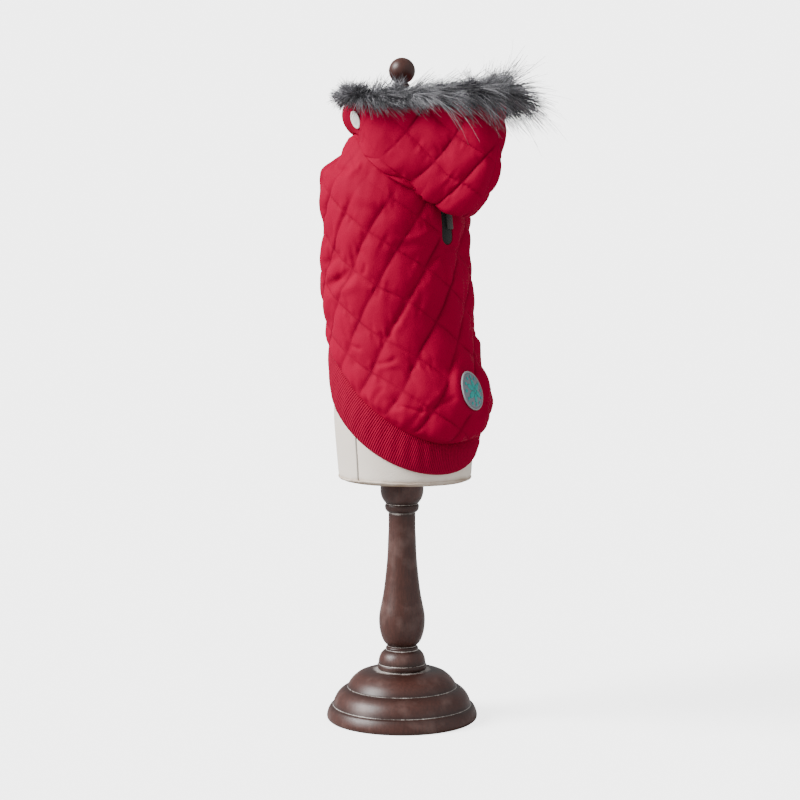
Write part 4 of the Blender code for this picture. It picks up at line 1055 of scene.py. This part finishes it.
def hood_lengths(count=48):
    edge = hood_face(np.linspace(0, 1, count + 1), np.ones(count + 1))
    round_length = np.linalg.norm(np.diff(edge, axis=0), axis=1).sum()
    share = np.linspace(0, 1, count + 1)[:, None]
    ways = hood_face(share, np.linspace(0, 1, 21)[None, :])
    return round_length, np.linalg.norm(np.diff(ways, axis=1), axis=2).sum(1)


def hood_meshes(sizes, columns, rows):
    round_length, falls = hood_lengths()
    share = np.linspace(0, 1, columns)[None, :].repeat(rows, 0)
    place = np.linspace(0, 1, rows)[:, None].repeat(columns, 1)
    fall = np.interp(share, np.linspace(0, 1, len(falls)), falls)
    along = share * round_length
    up = -(1 - place) * fall
    edge = np.minimum.reduce([-up, (up + fall) * 2.0, along, round_length - along])
    loft = quilt_relief(along, up, HOOD_QUILT, sizes, 4.0)
    plain = 0.65 * (1 - ease((along - 28.0) / 40.0))
    loft = loft + (4.0 - loft) * plain
    loft = loft + 0.35 * soft_noise(along, up, 19.0, 31) * edge_share(edge, 14.0)
    loft = SEAM_THICKNESS + (loft - SEAM_THICKNESS) * ease((place + 0.02) / 0.06)
    thickness = SEAM_THICKNESS + (loft - SEAM_THICKNESS) * edge_share(edge)
    thickness = np.maximum(thickness, 0.9)
    out = outward_from(hood_face, np.maximum(share, 0.01), np.clip(place, 0.015, 0.985),
                       0.008, 0.012)
    inner = hood_face(share, place)
    outer = inner + out * thickness[..., None]
    # painted shade along the hood's stitching, faded on its plain front, none on its inner face
    painted_stitch_shade = stitch_shade_share(along, up, HOOD_QUILT) * edge_share(edge, 5.0) * (1 - plain)
    painted_stitch_shade = np.concatenate([painted_stitch_shade.ravel(), 0 * painted_stitch_shade.ravel()])
    sides = []
    for name, flip in (("hood_left_side", 1.0), ("hood_right_side", -1.0)):
        mirror = np.array([flip, 1.0, 1.0])
        sides.append(closed_shell(name, outer * mirror * MM, inner * mirror * MM))
        store(sides[-1], "painted_stitch_shade", painted_stitch_shade)
    return sides


def collar_face(angle, share):
    low = coat_face(angle, neck_height(angle)) + (0, 0, SEAM_GAP)
    radius = HOOD_RIM.neck_radius - 1.2
    high = np.stack([radius * np.sin(angle), HOOD_RIM.neck_y + radius * np.cos(angle),
                     COLLAR_TOP + 0 * angle], -1)
    turn = math.pi - np.abs(math.pi - np.asarray(angle))
    full = 6.0 * np.sin(math.pi * np.clip(share, 0, 1)) ** 0.7 * ease((turn - 1.75) / 0.5)
    # the ends of the collar pass behind the hood's front edges
    behind = 1 - ease((turn - 1.60) / 0.12)
    full = full + behind * (2.4 * np.sin(math.pi * np.clip(share, 0, 1)) - 1.9)
    way = np.stack([np.sin(angle), np.cos(angle), 0 * angle], -1)
    return low + (high - low) * share[..., None] + way * full[..., None]


def collar_mesh(columns=150, rows=20):
    first = math.radians(HOOD_FRONT_ANGLE - COLLAR_OVERLAP_ANGLE)
    angle = np.linspace(first, 2 * math.pi - first, columns)[None, :].repeat(rows, 0)
    share = np.linspace(0, 1, rows)[:, None].repeat(columns, 1)
    inner = collar_face(angle, share)
    out = np.stack([np.sin(angle), np.cos(angle), 0 * angle], -1)
    crease = 0.45 * soft_noise(angle * 60, share * 22, 17.0, 41) * np.sin(math.pi * share)
    return closed_shell("collar", (inner + out * (COLLAR_THICKNESS + crease)[..., None]) * MM,
                        inner * MM)


def snap_mesh(count=64):
    """A pressed cap with a shallow dish and a rolled edge."""
    angle = np.array(math.radians(SNAP_ANGLE))
    neck = float(neck_height(angle))
    share = np.array((SNAP_HEIGHT - neck) / (COLLAR_TOP - neck))
    out = -outward_from(collar_face, angle, share, 0.02, 0.05)
    across = unit(np.cross((0.0, 0.0, 1.0), out))
    up = np.cross(out, across)
    centre = collar_face(angle, share) + out * (COLLAR_THICKNESS + 0.9)
    profile = ((8.2, 0.0), (8.8, 0.5), (8.7, 1.0), (8.2, 1.35), (7.4, 1.5), (6.6, 1.35),
               (6.0, 1.2), (4.4, 1.7), (2.6, 2.1), (1.0, 2.3))
    turn = np.arange(count) * 2 * math.pi / count
    rings = [centre + out * level + radius * (np.cos(turn)[:, None] * across
                                              + np.sin(turn)[:, None] * up)
             for radius, level in profile]
    return capped_mesh("snap_cap", np.array(rings) * MM)


# ---- the fur -----------------------------------------------------------------------------------
def fur_frame(turn):
    """Place on the hood's edge and the level way out of it, for turns from the centre back."""
    def place(value):
        value = value % 1.0
        x, y = stretched_round(1 - 2 * np.minimum(value, 1 - value), HOOD_RIM, math.pi)
        return np.stack([np.where(value <= 0.5, x, -x), y, RIM_HEIGHT + 0 * x], -1)

    run = unit(place(turn + 0.004) - place(turn - 0.004))
    out = np.stack([-run[:, 1], run[:, 0], 0 * run[:, 0]], -1)
    return place(turn), out, run


ROLL = (
    (-3.0, 0.0), (4.5, 0.0), (7.0, 0.5), (9.0, 3.0), (9.5, 7.0), (7.5, 11.5), (3.0, 14.0),
    (-2.0, 14.0), (-5.5, 10.5), (-5.5, 5.0),
)


def fur_fullness(centre):
    """How full the trim is: least at the throat, most at the crown, flatter on the right side."""
    crown = ease((centre[..., 1] + 35) / 150)
    flat = 1 - 0.4 * ease((12 - centre[..., 0]) / 45) * ease((100 - centre[..., 1]) / 40)
    return crown, flat


def fur_roll_mesh(columns=220):
    """The backing and dense short pile that the long hairs grow from."""
    centre, out, _ = fur_frame(np.arange(columns) / columns)
    crown, flat = fur_fullness(centre)
    rings = []
    for k, (off, rise) in enumerate(ROLL):
        uneven = (0.42 + 0.5 * crown) * (1.0 + 0.08 * np.sin(np.arange(columns) * 1.7 + k))
        rings.append(centre + out * (off * uneven * (0.5 + 0.5 * crown))[:, None]
                     + np.array((0, 0, 1.0)) * (rise * uneven * flat * 0.92)[:, None])
    mesh = hoop_mesh("fur_backing", np.array(rings).transpose(1, 0, 2) * MM)
    store(mesh, "hair_tone", np.full(len(mesh.vertices), 0.22))
    return mesh


def hair_mesh(name, count, guard, seed, sizes):
    """Hairs in locks. Each leaves the roll, leans along the edge, and droops at the tip."""
    maker = np.random.default_rng(seed)
    locks = 220 if guard else 330
    lock_turn = (np.arange(locks) + maker.uniform(0, 1, locks)) / locks
    sides = np.linspace(-0.7, 2.2, locks) if guard else np.linspace(-0.95, 3.3, locks)
    lock_side = maker.permutation(sides)
    lock_reach = maker.uniform(0.55, 1.2, locks)
    lock_sweep = maker.normal(0.0, 0.6, locks)
    lock_tone = maker.uniform(-0.1, 1.0, locks) ** 2 * np.sign(maker.uniform(-0.1, 1, locks))
    owner = maker.integers(0, locks, count)
    turn = lock_turn[owner] + maker.normal(0, 0.006, count)
    side = lock_side[owner] + maker.normal(0, 0.16, count)
    centre, out, run = fur_frame(turn)
    crown, flat = fur_fullness(centre)
    rise = np.array((0.0, 0.0, 1.0))
    turn = turn % 1.0
    from_crown = np.minimum(turn, 1 - turn)
    throat = ease((from_crown - 0.27) / 0.13)
    raised = ease((from_crown - 0.26) / 0.08) * ease((centre[:, 0] + 5) / 40)
    # the pile is brushed towards the crown, and near the throat the other way
    lean = np.where(turn < 0.5, -1.0, 1.0) * ease(from_crown / 0.10) * (1 - 1.7 * throat)
    way = np.cos(side)[:, None] * out + np.sin(side)[:, None] * rise
    bulk = 0.42 + 0.5 * crown
    start = maker.uniform(2.0, 6.0, count) * bulk
    root = (centre + out * 1.0 + rise * (4.6 * bulk * flat + 4.5 * raised)[:, None]
            + way * (start * (1 - 0.4 * throat))[:, None])
    outward = np.clip(np.cos(side), 0, 1)
    upward = np.clip(np.sin(side), 0, 1) * flat
    downward = np.clip(-np.sin(side), 0, 1)
    if guard:
        length = 15 + crown * (9 + 28 * outward) + 4 * upward * crown + 8 * raised
    else:
        length = (9.5 + crown * (6 + 1.5 * outward) + 2.5 * crown * upward + 14 * raised * upward
                  + 4.0 * downward - 3.0 * upward)
    length = length * (1 - 0.4 * throat * outward)
    length = length * lock_reach[owner] * maker.uniform(0.7, 1.15, count)
    sweep = lean * (1.3 + 0.3 * crown) + lock_sweep[owner] + maker.normal(0, 0.18, count)
    drift = unit(way + run * sweep[:, None] + maker.normal(0, 0.10, (count, 3)))
    for axis, limit in ((0, 91.0), (1, 174.0)):
        room = limit - np.abs(root[:, axis])
        length = np.minimum(length, 0.97 * room / np.maximum(np.abs(drift[:, axis]), 0.05))
    fall = maker.uniform(0.1, 0.55, count) * (0.5 + 0.45 * crown if guard else 0.8)
    parts = 5 if guard else 3
    turned = maker.uniform(0, math.pi, count)
    across = unit(np.cross(drift, rise + 0.01))
    across = (across * np.cos(turned)[:, None]
              + np.cross(drift, across) * np.sin(turned)[:, None])
    bend = maker.normal(0, 0.22, count)
    root_tone = np.clip(0.3 + 0.95 * lock_tone[owner] + maker.normal(0, 0.25, count), 0, 1.25)
    tip_tone = root_tone * (0.05 if guard else 0.5)
    width = sizes.hair_width / MM
    taper = 0.7 if guard else 0.85
    points = []
    tones = []
    for k in range(parts + 1):
        t = k / parts
        middle = root + drift * (length * t)[:, None] - rise * (fall * length * t * t)[:, None]
        middle = middle + run * (bend * length * t * (1 - t))[:, None]
        half = across * width * (1 - taper * t) / 2
        points += [middle - half, middle + half]
        tones += [root_tone + (tip_tone - root_tone) * t] * 2
    points = np.array(points).transpose(1, 0, 2) * MM
    per = 2 * (parts + 1)
    first = np.arange(count)[:, None, None] * per
    step = np.arange(parts)[None, :, None] * 2
    faces = (first + step + np.array([0, 1, 3, 2])[None, None, :]).reshape(-1, 4)
    mesh = mesh_from(name, points, [tuple(face) for face in faces.tolist()])
    store(mesh, "hair_tone", np.array(tones).T)
    return mesh


# ---- slot, patch, form and stand ---------------------------------------------------------------
def slot_outline(shrink, count=24):
    half = SLOT_HALF_WIDTH - shrink
    low = SLOT_BOTTOM + SLOT_HALF_WIDTH
    turn = np.pi + np.pi * np.arange(count + 1) / count
    x = np.concatenate([SLOT_ALONG + half * np.cos(turn), [SLOT_ALONG + half, SLOT_ALONG - half]])
    y = np.concatenate([low + half * np.sin(turn), [SLOT_TOP - shrink, SLOT_TOP - shrink]])
    return x, y


def slab_on_coat(name, x, y, levels, inset):
    rings = [coat_place(x, y, levels[0])]
    rings.append(coat_place(x, y, levels[1] - inset))
    middle_x, middle_y = x.mean(), y.mean()
    rings.append(coat_place(x + (middle_x - x) * 0.04, y + (middle_y - y) * 0.02, levels[1]))
    return capped_mesh(name, np.array(rings))


def patch_point(x, y, level):
    """A place on the stiff patch, which leans back a little towards the dog's right side."""
    return coat_place(PATCH_ALONG + 0.91 * x, PATCH_HEIGHT + 0.93 * y, level + PATCH_LEAN * x)


def patch_rings(rings, count=96):
    turn = np.arange(count) * 2 * math.pi / count
    return np.array([patch_point(radius * np.cos(turn), radius * np.sin(turn), level)
                     for radius, level in rings])


def petals_mesh(level, count=20):
    """Six raised petals, a bead in the middle and a dotted ring."""
    shapes = [(0.0, 0.0, 1.7, 1.7, 0.0)]
    for k in range(6):
        turn = math.pi / 6 + k * math.pi / 3
        shapes.append((6.6 * math.cos(turn), 6.6 * math.sin(turn), 4.5, 2.6, turn))
    for k in range(12):
        turn = k * math.pi / 6
        shapes.append((13.1 * math.cos(turn), 13.1 * math.sin(turn), 1.5, 1.5, 0.0))
    points = []
    faces = []
    turn = np.arange(count) * 2 * math.pi / count
    for x, y, long_half, short_half, angle in shapes:
        start = len(points) * count
        for scale, rise in ((1.0, 0.0), (1.0, 0.35), (0.8, 0.6), (0.1, 0.62)):
            a = long_half * scale * np.cos(turn)
            b = short_half * scale * np.sin(turn)
            points.append(patch_point(x + a * math.cos(angle) - b * math.sin(angle),
                                      y + a * math.sin(angle) + b * math.cos(angle),
                                      level + rise))
        faces += grid_faces(4, count, wrap_columns=True, offset=start)
        faces.append(tuple(range(start + 3 * count, start + 4 * count))[::-1])
        faces.append(tuple(range(start, start + count)))
    return facing_out(mesh_from("patch_petals", np.array(points), faces))


def form_mesh(columns=112):
    """The canvas torso, slightly uneven; its flat-felled side seams are separate pieces."""
    heights = [row.height for row in FORM_SECTIONS]
    levels = np.concatenate([np.linspace(a, b, max(2, int((b - a) / 3.0) + 1), endpoint=False)
                             for a, b in zip(heights, heights[1:])] + [[heights[-1]]])
    turn = np.arange(columns) * 2 * math.pi / columns
    angle, height = np.meshgrid(turn, levels)
    points = section_point(FORM_SECTIONS, angle, height)
    points = points + level_outward(FORM_SECTIONS, angle, height) * (
        0.25 * soft_noise(angle * 70, height, 45.0, 51))[..., None]
    return capped_mesh("form_torso_canvas", points * MM)


def form_seam_mesh(name, angle, rows=60):
    """A flat-felled seam: a narrow raised welt that follows the torso."""
    height = np.linspace(241.5, 330.0, rows)
    lines = []
    for off, level in ((-0.9, -0.3), (-0.8, 0.45), (-0.4, 0.6), (0.3, 0.6), (0.8, 0.4),
                       (0.9, -0.3)):
        turn = math.radians(angle) + (off + 0.25 * np.sin(height / 9.0)) / 66.0
        lines.append(section_point(FORM_SECTIONS, turn, height)
                     + level_outward(FORM_SECTIONS, turn, height) * level)
    return capped_mesh(name, np.array(lines).transpose(1, 0, 2) * MM)


def form_piping_mesh(name, columns=220):
    """The cord-like turned edge at the bottom of the torso's cover."""
    turn = np.arange(columns) * 2 * math.pi / columns
    sections = []
    for k in range(8):
        tilt = k * math.pi / 4
        height = (243.0 + 1.3 * math.sin(tilt) + 0.5 * np.sin(turn * 5 + 1)
                  + 0.2 * np.sin(turn * 23))
        base = section_point(FORM_SECTIONS, turn, height)
        sections.append(base + level_outward(FORM_SECTIONS, turn, height)
                        * (0.35 + 0.9 * math.cos(tilt)))
    return hoop_mesh(name, np.array(sections).transpose(1, 0, 2) * MM)


def turned_mesh(name, profile, steps=112, parts=4):
    """A turned piece: a smooth line through its profile, spun round the axis."""
    line = np.array([(turn.radius, turn.height) for turn in profile], float)
    padded = np.concatenate([[2 * line[0] - line[1]], line, [2 * line[-1] - line[-2]]])
    smooth = []
    for k in range(len(line) - 1):
        a, b, c, d = padded[k:k + 4]
        for t in np.arange(parts) / parts:
            smooth.append(0.5 * (2 * b + (c - a) * t + (2 * a - 5 * b + 4 * c - d) * t * t
                                 + (3 * b - a - 3 * c + d) * t ** 3))
    smooth.append(line[-1])
    smooth = np.array(smooth)
    smooth[:, 1] = np.maximum(smooth[:, 1], line[:, 1].min())
    turn = np.arange(steps) * 2 * math.pi / steps
    rings = np.stack([smooth[:, :1] * np.cos(turn), smooth[:, :1] * np.sin(turn),
                      smooth[:, 1:] + 0 * turn], -1)
    mesh = capped_mesh(name, rings * MM)
    heights = np.array([v.co.z for v in mesh.vertices]) / MM
    off = np.min(np.abs(heights[:, None] - np.array(LIMED_GROOVES)[None, :]), axis=1)
    store(mesh, "limed", np.exp(-(off / LIMED_HALF_WIDTH) ** 2))
    store(mesh, "groove_dark", 0.75 * np.exp(-(off / GROOVE_DARK_HALF_WIDTH) ** 2))
    return mesh


def finial_profile():
    ball_radius, ball_height = 12.9, 640.0
    first = math.asin(FINIAL_PROFILE[0].radius / ball_radius)
    turns = [Turn(0.4, ball_height + ball_radius)]
    for k in range(1, 12):
        angle = (math.pi - first) * k / 12
        turns.append(Turn(ball_radius * math.sin(angle),
                          ball_height + ball_radius * math.cos(angle)))
    return tuple(turns) + FINIAL_PROFILE


# ---- operators ---------------------------------------------------------------------------------
def settings():
    scene = bpy.context.scene
    return scene.dog_coat_sizes, scene.dog_coat_colours


def finish_named(name, maker, *values):
    """A material made once and shared."""
    return bpy.data.materials.get(name) or maker(*values)


class DOGCOAT_OT_quilted_back(bpy.types.Operator):
    """Quilted back panel with the leash slot and the leg openings"""
    bl_idname = "dogcoat.quilted_back"
    bl_label = "Quilted back"

    def execute(self, context):
        sizes, colours = settings()
        cloth = finish_named("woven_polyester_over_wadding", quilted_polyester, colours)
        piece = new_piece("coat_back", back_panel_mesh(sizes, columns=300, rows=195), cloth,
                          ["coat_back_panel"])
        return {"FINISHED"}


class DOGCOAT_OT_belly(bpy.types.Operator):
    """Plain belly panel and the bindings of the leg openings"""
    bl_idname = "dogcoat.belly"
    bl_label = "Belly and leg bindings"

    def execute(self, context):
        _, colours = settings()
        cloth = finish_named("plain_woven_polyester", plain_polyester, colours)
        piece = new_piece("coat_belly", belly_panel_mesh(columns=60, rows=120), cloth,
                          ["coat_belly_panel"])
        for name, side in (("leg_binding_left", 1), ("leg_binding_right", -1)):
            new_piece(name + "_tape", leg_binding_mesh(name + "_tape", side), cloth, [name])
        return {"FINISHED"}


class DOGCOAT_OT_hem_rib(bpy.types.Operator):
    """Rib-knit band round the hem"""
    bl_idname = "dogcoat.hem_rib"
    bl_label = "Hem rib"

    def execute(self, context):
        sizes, colours = settings()
        knit = finish_named("cotton_rib_knit", rib_knit, colours)
        piece = new_piece("hem_rib", hem_rib_mesh(sizes), knit, ["coat_hem_rib"])
        return {"FINISHED"}


class DOGCOAT_OT_hood(bpy.types.Operator):
    """Both sides of the hood, the throat collar and the snap"""
    bl_idname = "dogcoat.hood"
    bl_label = "Hood and collar"

    def execute(self, context):
        sizes, colours = settings()
        cloth = finish_named("woven_polyester_over_wadding", quilted_polyester, colours)
        halves = hood_meshes(sizes, columns=140, rows=135)
        for mesh, node in zip(halves, ("hood_left", "hood_right")):
            piece = new_piece(mesh.name, mesh, cloth, [node])
        plain = finish_named("plain_woven_polyester", plain_polyester, colours)
        collar = new_piece("collar", collar_mesh(), plain, ["collar_front"])
        cap = moulded("acetal_snap", tuple(colours.snap), 0.32, 2.0, 1.48)
        new_piece("snap_cap", snap_mesh(), cap, ["collar_snap"])
        return {"FINISHED"}


class DOGCOAT_OT_fur(bpy.types.Operator):
    """Long-pile fur trim round the hood's edge"""
    bl_idname = "dogcoat.fur"
    bl_label = "Fur trim"

    def execute(self, context):
        sizes, colours = settings()
        pile = finish_named("modacrylic_pile", modacrylic_fur, colours)
        new_piece("fur_backing", fur_roll_mesh(), pile, ["fur_trim"])
        for name, count, guard, seed in (("fur_pile", sizes.hair_count, False, 1957),
                                         ("fur_guard_hairs", sizes.hair_count // 3, True, 1961)):
            new_piece(name, hair_mesh(name, count, guard, seed, sizes), pile, [])
        return {"FINISHED"}


class DOGCOAT_OT_slot_and_patch(bpy.types.Operator):
    """Liner and tab of the leash slot, and the round patch"""
    bl_idname = "dogcoat.slot_and_patch"
    bl_label = "Leash slot and patch"

    def execute(self, context):
        _, colours = settings()
        black = woven_tape("black_nylon_tape", linear_rgb("0E0C0B"))
        grey = woven_tape("grey_nylon_webbing", linear_rgb("3E3B38"))
        x, y = slot_outline(SEAM_GAP)
        new_piece("slot_liner", slab_on_coat("slot_liner", x, y, (0.1, 1.1), 0.2), black,
                  ["leash_slot_liner"])
        half = SLOT_TAB_WIDTH / 2
        x = SLOT_TAB_ALONG + half * np.array([-1.0, 1.0, 1.0, -1.0])
        y = np.array([SLOT_TAB_BOTTOM, SLOT_TAB_BOTTOM, SLOT_TOP - 1.0, SLOT_TOP - 1.0])
        new_piece("slot_tab", slab_on_coat("slot_tab", x, y, (1.6, 2.9), 0.3), grey,
                  ["leash_slot_tab"])
        self.make_patch(colours)
        return {"FINISHED"}

    def make_patch(self, colours):
        low = PATCH_BED + PATCH_SEAT
        inside = PATCH_RADIUS - PATCH_RIM_WIDTH - 0.1
        face = [(0.5, low), (8.0, low), (inside, low), (inside, low + 0.9),
                (inside - 0.5, low + 1.1), (8.0, low + 1.1), (0.5, low + 1.1)]
        teal, grey, pale = (moulded("silicone_rubber_" + name, tuple(colour), 0.45, 1.2, 1.43)
                            for name, colour in (("teal", colours.patch),
                                                 ("grey", colours.patch_ground),
                                                 ("pale", colours.patch_rim)))
        new_piece("patch_face", capped_mesh("patch_face", patch_rings(face)), grey,
                  ["round_patch"])
        new_piece("patch_petals", petals_mesh(low + 1.0), teal, [])
        inner = PATCH_RADIUS - PATCH_RIM_WIDTH
        rim = [(inner, low), (inner, low + 1.2), (inner + 0.4, low + 1.65),
               (inner + 0.95, low + 1.8), (PATCH_RADIUS - 0.4, low + 1.65),
               (PATCH_RADIUS, low + 1.2), (PATCH_RADIUS, low)]
        new_piece("patch_rim", hoop_mesh("patch_rim", patch_rings(rim).transpose(1, 0, 2)), pale,
                  ["round_patch_rim"])


class DOGCOAT_OT_form_and_stand(bpy.types.Operator):
    """Canvas dress form and its turned wooden stand"""
    bl_idname = "dogcoat.form_and_stand"
    bl_label = "Form and stand"

    def execute(self, context):
        _, colours = settings()
        canvas = cotton_canvas(colours)
        new_piece("form_torso_canvas", form_mesh(), canvas, ["form_torso"])
        # the side seams' welts are painted darker, as painted shade
        seam_shaded_canvas = cotton_canvas(colours, "cotton_canvas_seam_painted_shade", 0.42)
        for name, angle in (("form_seam_left", 90.0), ("form_seam_right", -90.0)):
            new_piece(name, form_seam_mesh(name, angle), seam_shaded_canvas, [])
        new_piece("form_hem", form_piping_mesh("form_hem"), canvas, [])
        wood = limed_wood(colours)
        for node, profile in (("form_finial", finial_profile()), ("stand_collar", COLLAR_PROFILE),
                              ("stand_column", COLUMN_PROFILE), ("stand_base", BASE_PROFILE)):
            piece = new_piece(node + "_turned", turned_mesh(node + "_turned", profile), wood,
                              [node])
            piece.data.set_sharp_from_angle(angle=math.radians(55))
        return {"FINISHED"}


WHITE = (1.0, 1.0, 1.0, 1.0)
FLOOR_GLOW = 2.85
ROOM_LIGHT = 0.42
BACKDROP_LIGHT = 4.5
Lamp = namedtuple("Lamp", "name turn rise softness power")
LAMPS = (Lamp("key", -30, 36, 30, 7.0), Lamp("fill", 95, 25, 90, 0.7))
SENSOR_WIDTH = 36.0
IMAGE_WIDTH_PX = 800.0
FOCAL_LENGTH_PX = 1931.0
CAMERA_SHIFT_PX = -2.0
CAMERA_DISTANCE = 1.9
CAMERA_HEIGHT = 0.47
CAMERA_DIP = 4.56
CAMERA_TURN = 135.0


class DOGCOAT_OT_stage(bpy.types.Operator):
    """Pale floor, soft studio lights and the camera"""
    bl_idname = "dogcoat.stage"
    bl_label = "Studio"

    def execute(self, context):
        scene = context.scene
        mesh = mesh_from("floor", [(-60, -60, 0), (60, -60, 0), (60, 60, 0), (-60, 60, 0)],
                         [(0, 1, 2, 3)])
        made, tree = new_finish("white_seamless_paper", Roughness=0.9, Emission_Color=WHITE)
        ray = add_node(tree, "ShaderNodeLightPath").outputs["Is Camera Ray"]
        paper = blend(tree, ray, toned(linear_rgb("ABABAB")), toned(linear_rgb("F8F8F8")))
        # overexposed as the backdrop is, without lighting the coat from below
        glow = worked_out(tree, "MULTIPLY", ray, FLOOR_GLOW)
        mesh.materials.append(finished(made, Base_Color=paper, Emission_Strength=glow))
        floor = bpy.data.objects.new("floor", mesh)
        scene.collection.objects.link(floor)
        self.add_lights(scene)
        self.add_camera(scene)
        world = bpy.data.worlds.new("studio")
        world.use_nodes = True
        # a bright backdrop behind a dimmer room, as behind a lit product in a studio
        tree = world.node_tree
        ray = add_node(tree, "ShaderNodeLightPath").outputs["Is Camera Ray"]
        background = tree.nodes["Background"]
        background.inputs["Color"].default_value = WHITE
        tree.links.new(ranged(tree, ray, 0.0, 1.0, ROOM_LIGHT, BACKDROP_LIGHT),
                       background.inputs["Strength"])
        scene.world = world
        return {"FINISHED"}

    def add_lights(self, scene):
        for lamp in LAMPS:
            data = bpy.data.lights.new(lamp.name, "SUN")
            data.angle = math.radians(lamp.softness)
            data.energy = lamp.power
            obj = bpy.data.objects.new(lamp.name, data)
            obj.rotation_euler = (math.radians(90 - lamp.rise), 0, math.radians(90 + lamp.turn))
            scene.collection.objects.link(obj)

    def add_camera(self, scene):
        data = bpy.data.cameras.new("camera")
        data.sensor_width = SENSOR_WIDTH
        data.lens = FOCAL_LENGTH_PX * SENSOR_WIDTH / IMAGE_WIDTH_PX
        data.shift_x = CAMERA_SHIFT_PX / IMAGE_WIDTH_PX
        obj = bpy.data.objects.new("camera", data)
        level = CAMERA_DISTANCE / math.sqrt(2)
        obj.location = (level, level, CAMERA_HEIGHT)
        obj.rotation_euler = (math.radians(90 - CAMERA_DIP), 0, math.radians(CAMERA_TURN))
        scene.collection.objects.link(obj)
        scene.camera = obj


class DOGCOAT_PT_panel(bpy.types.Panel):
    """Lists the coat's pieces and their settings"""
    bl_idname = "DOGCOAT_PT_panel"
    bl_label = "Dog coat"
    bl_space_type = "VIEW_3D"
    bl_region_type = "UI"
    bl_category = "Dog coat"

    def draw(self, context):
        layout = self.layout
        for group in (context.scene.dog_coat_sizes, context.scene.dog_coat_colours):
            for name in group.__annotations__:
                layout.prop(group, name)
        for operator in OPERATORS:
            layout.operator(operator.bl_idname)


OPERATORS = (DOGCOAT_OT_quilted_back, DOGCOAT_OT_belly, DOGCOAT_OT_hem_rib, DOGCOAT_OT_hood,
             DOGCOAT_OT_fur, DOGCOAT_OT_slot_and_patch, DOGCOAT_OT_form_and_stand,
             DOGCOAT_OT_stage)
CLASSES = (DogCoatSizes, DogCoatColours, *OPERATORS, DOGCOAT_PT_panel)


def register():
    for cls in CLASSES:
        bpy.utils.register_class(cls)
    bpy.types.Scene.dog_coat_sizes = bpy.props.PointerProperty(type=DogCoatSizes)
    bpy.types.Scene.dog_coat_colours = bpy.props.PointerProperty(type=DogCoatColours)


def unregister():
    del bpy.types.Scene.dog_coat_sizes
    del bpy.types.Scene.dog_coat_colours
    for cls in reversed(CLASSES):
        bpy.utils.unregister_class(cls)


def main():
    register()
    bpy.ops.dogcoat.quilted_back()
    bpy.ops.dogcoat.belly()
    bpy.ops.dogcoat.hem_rib()
    bpy.ops.dogcoat.hood()
    bpy.ops.dogcoat.fur()
    bpy.ops.dogcoat.slot_and_patch()
    bpy.ops.dogcoat.form_and_stand()
    bpy.ops.dogcoat.stage()


if __name__ == "__main__":
    main()
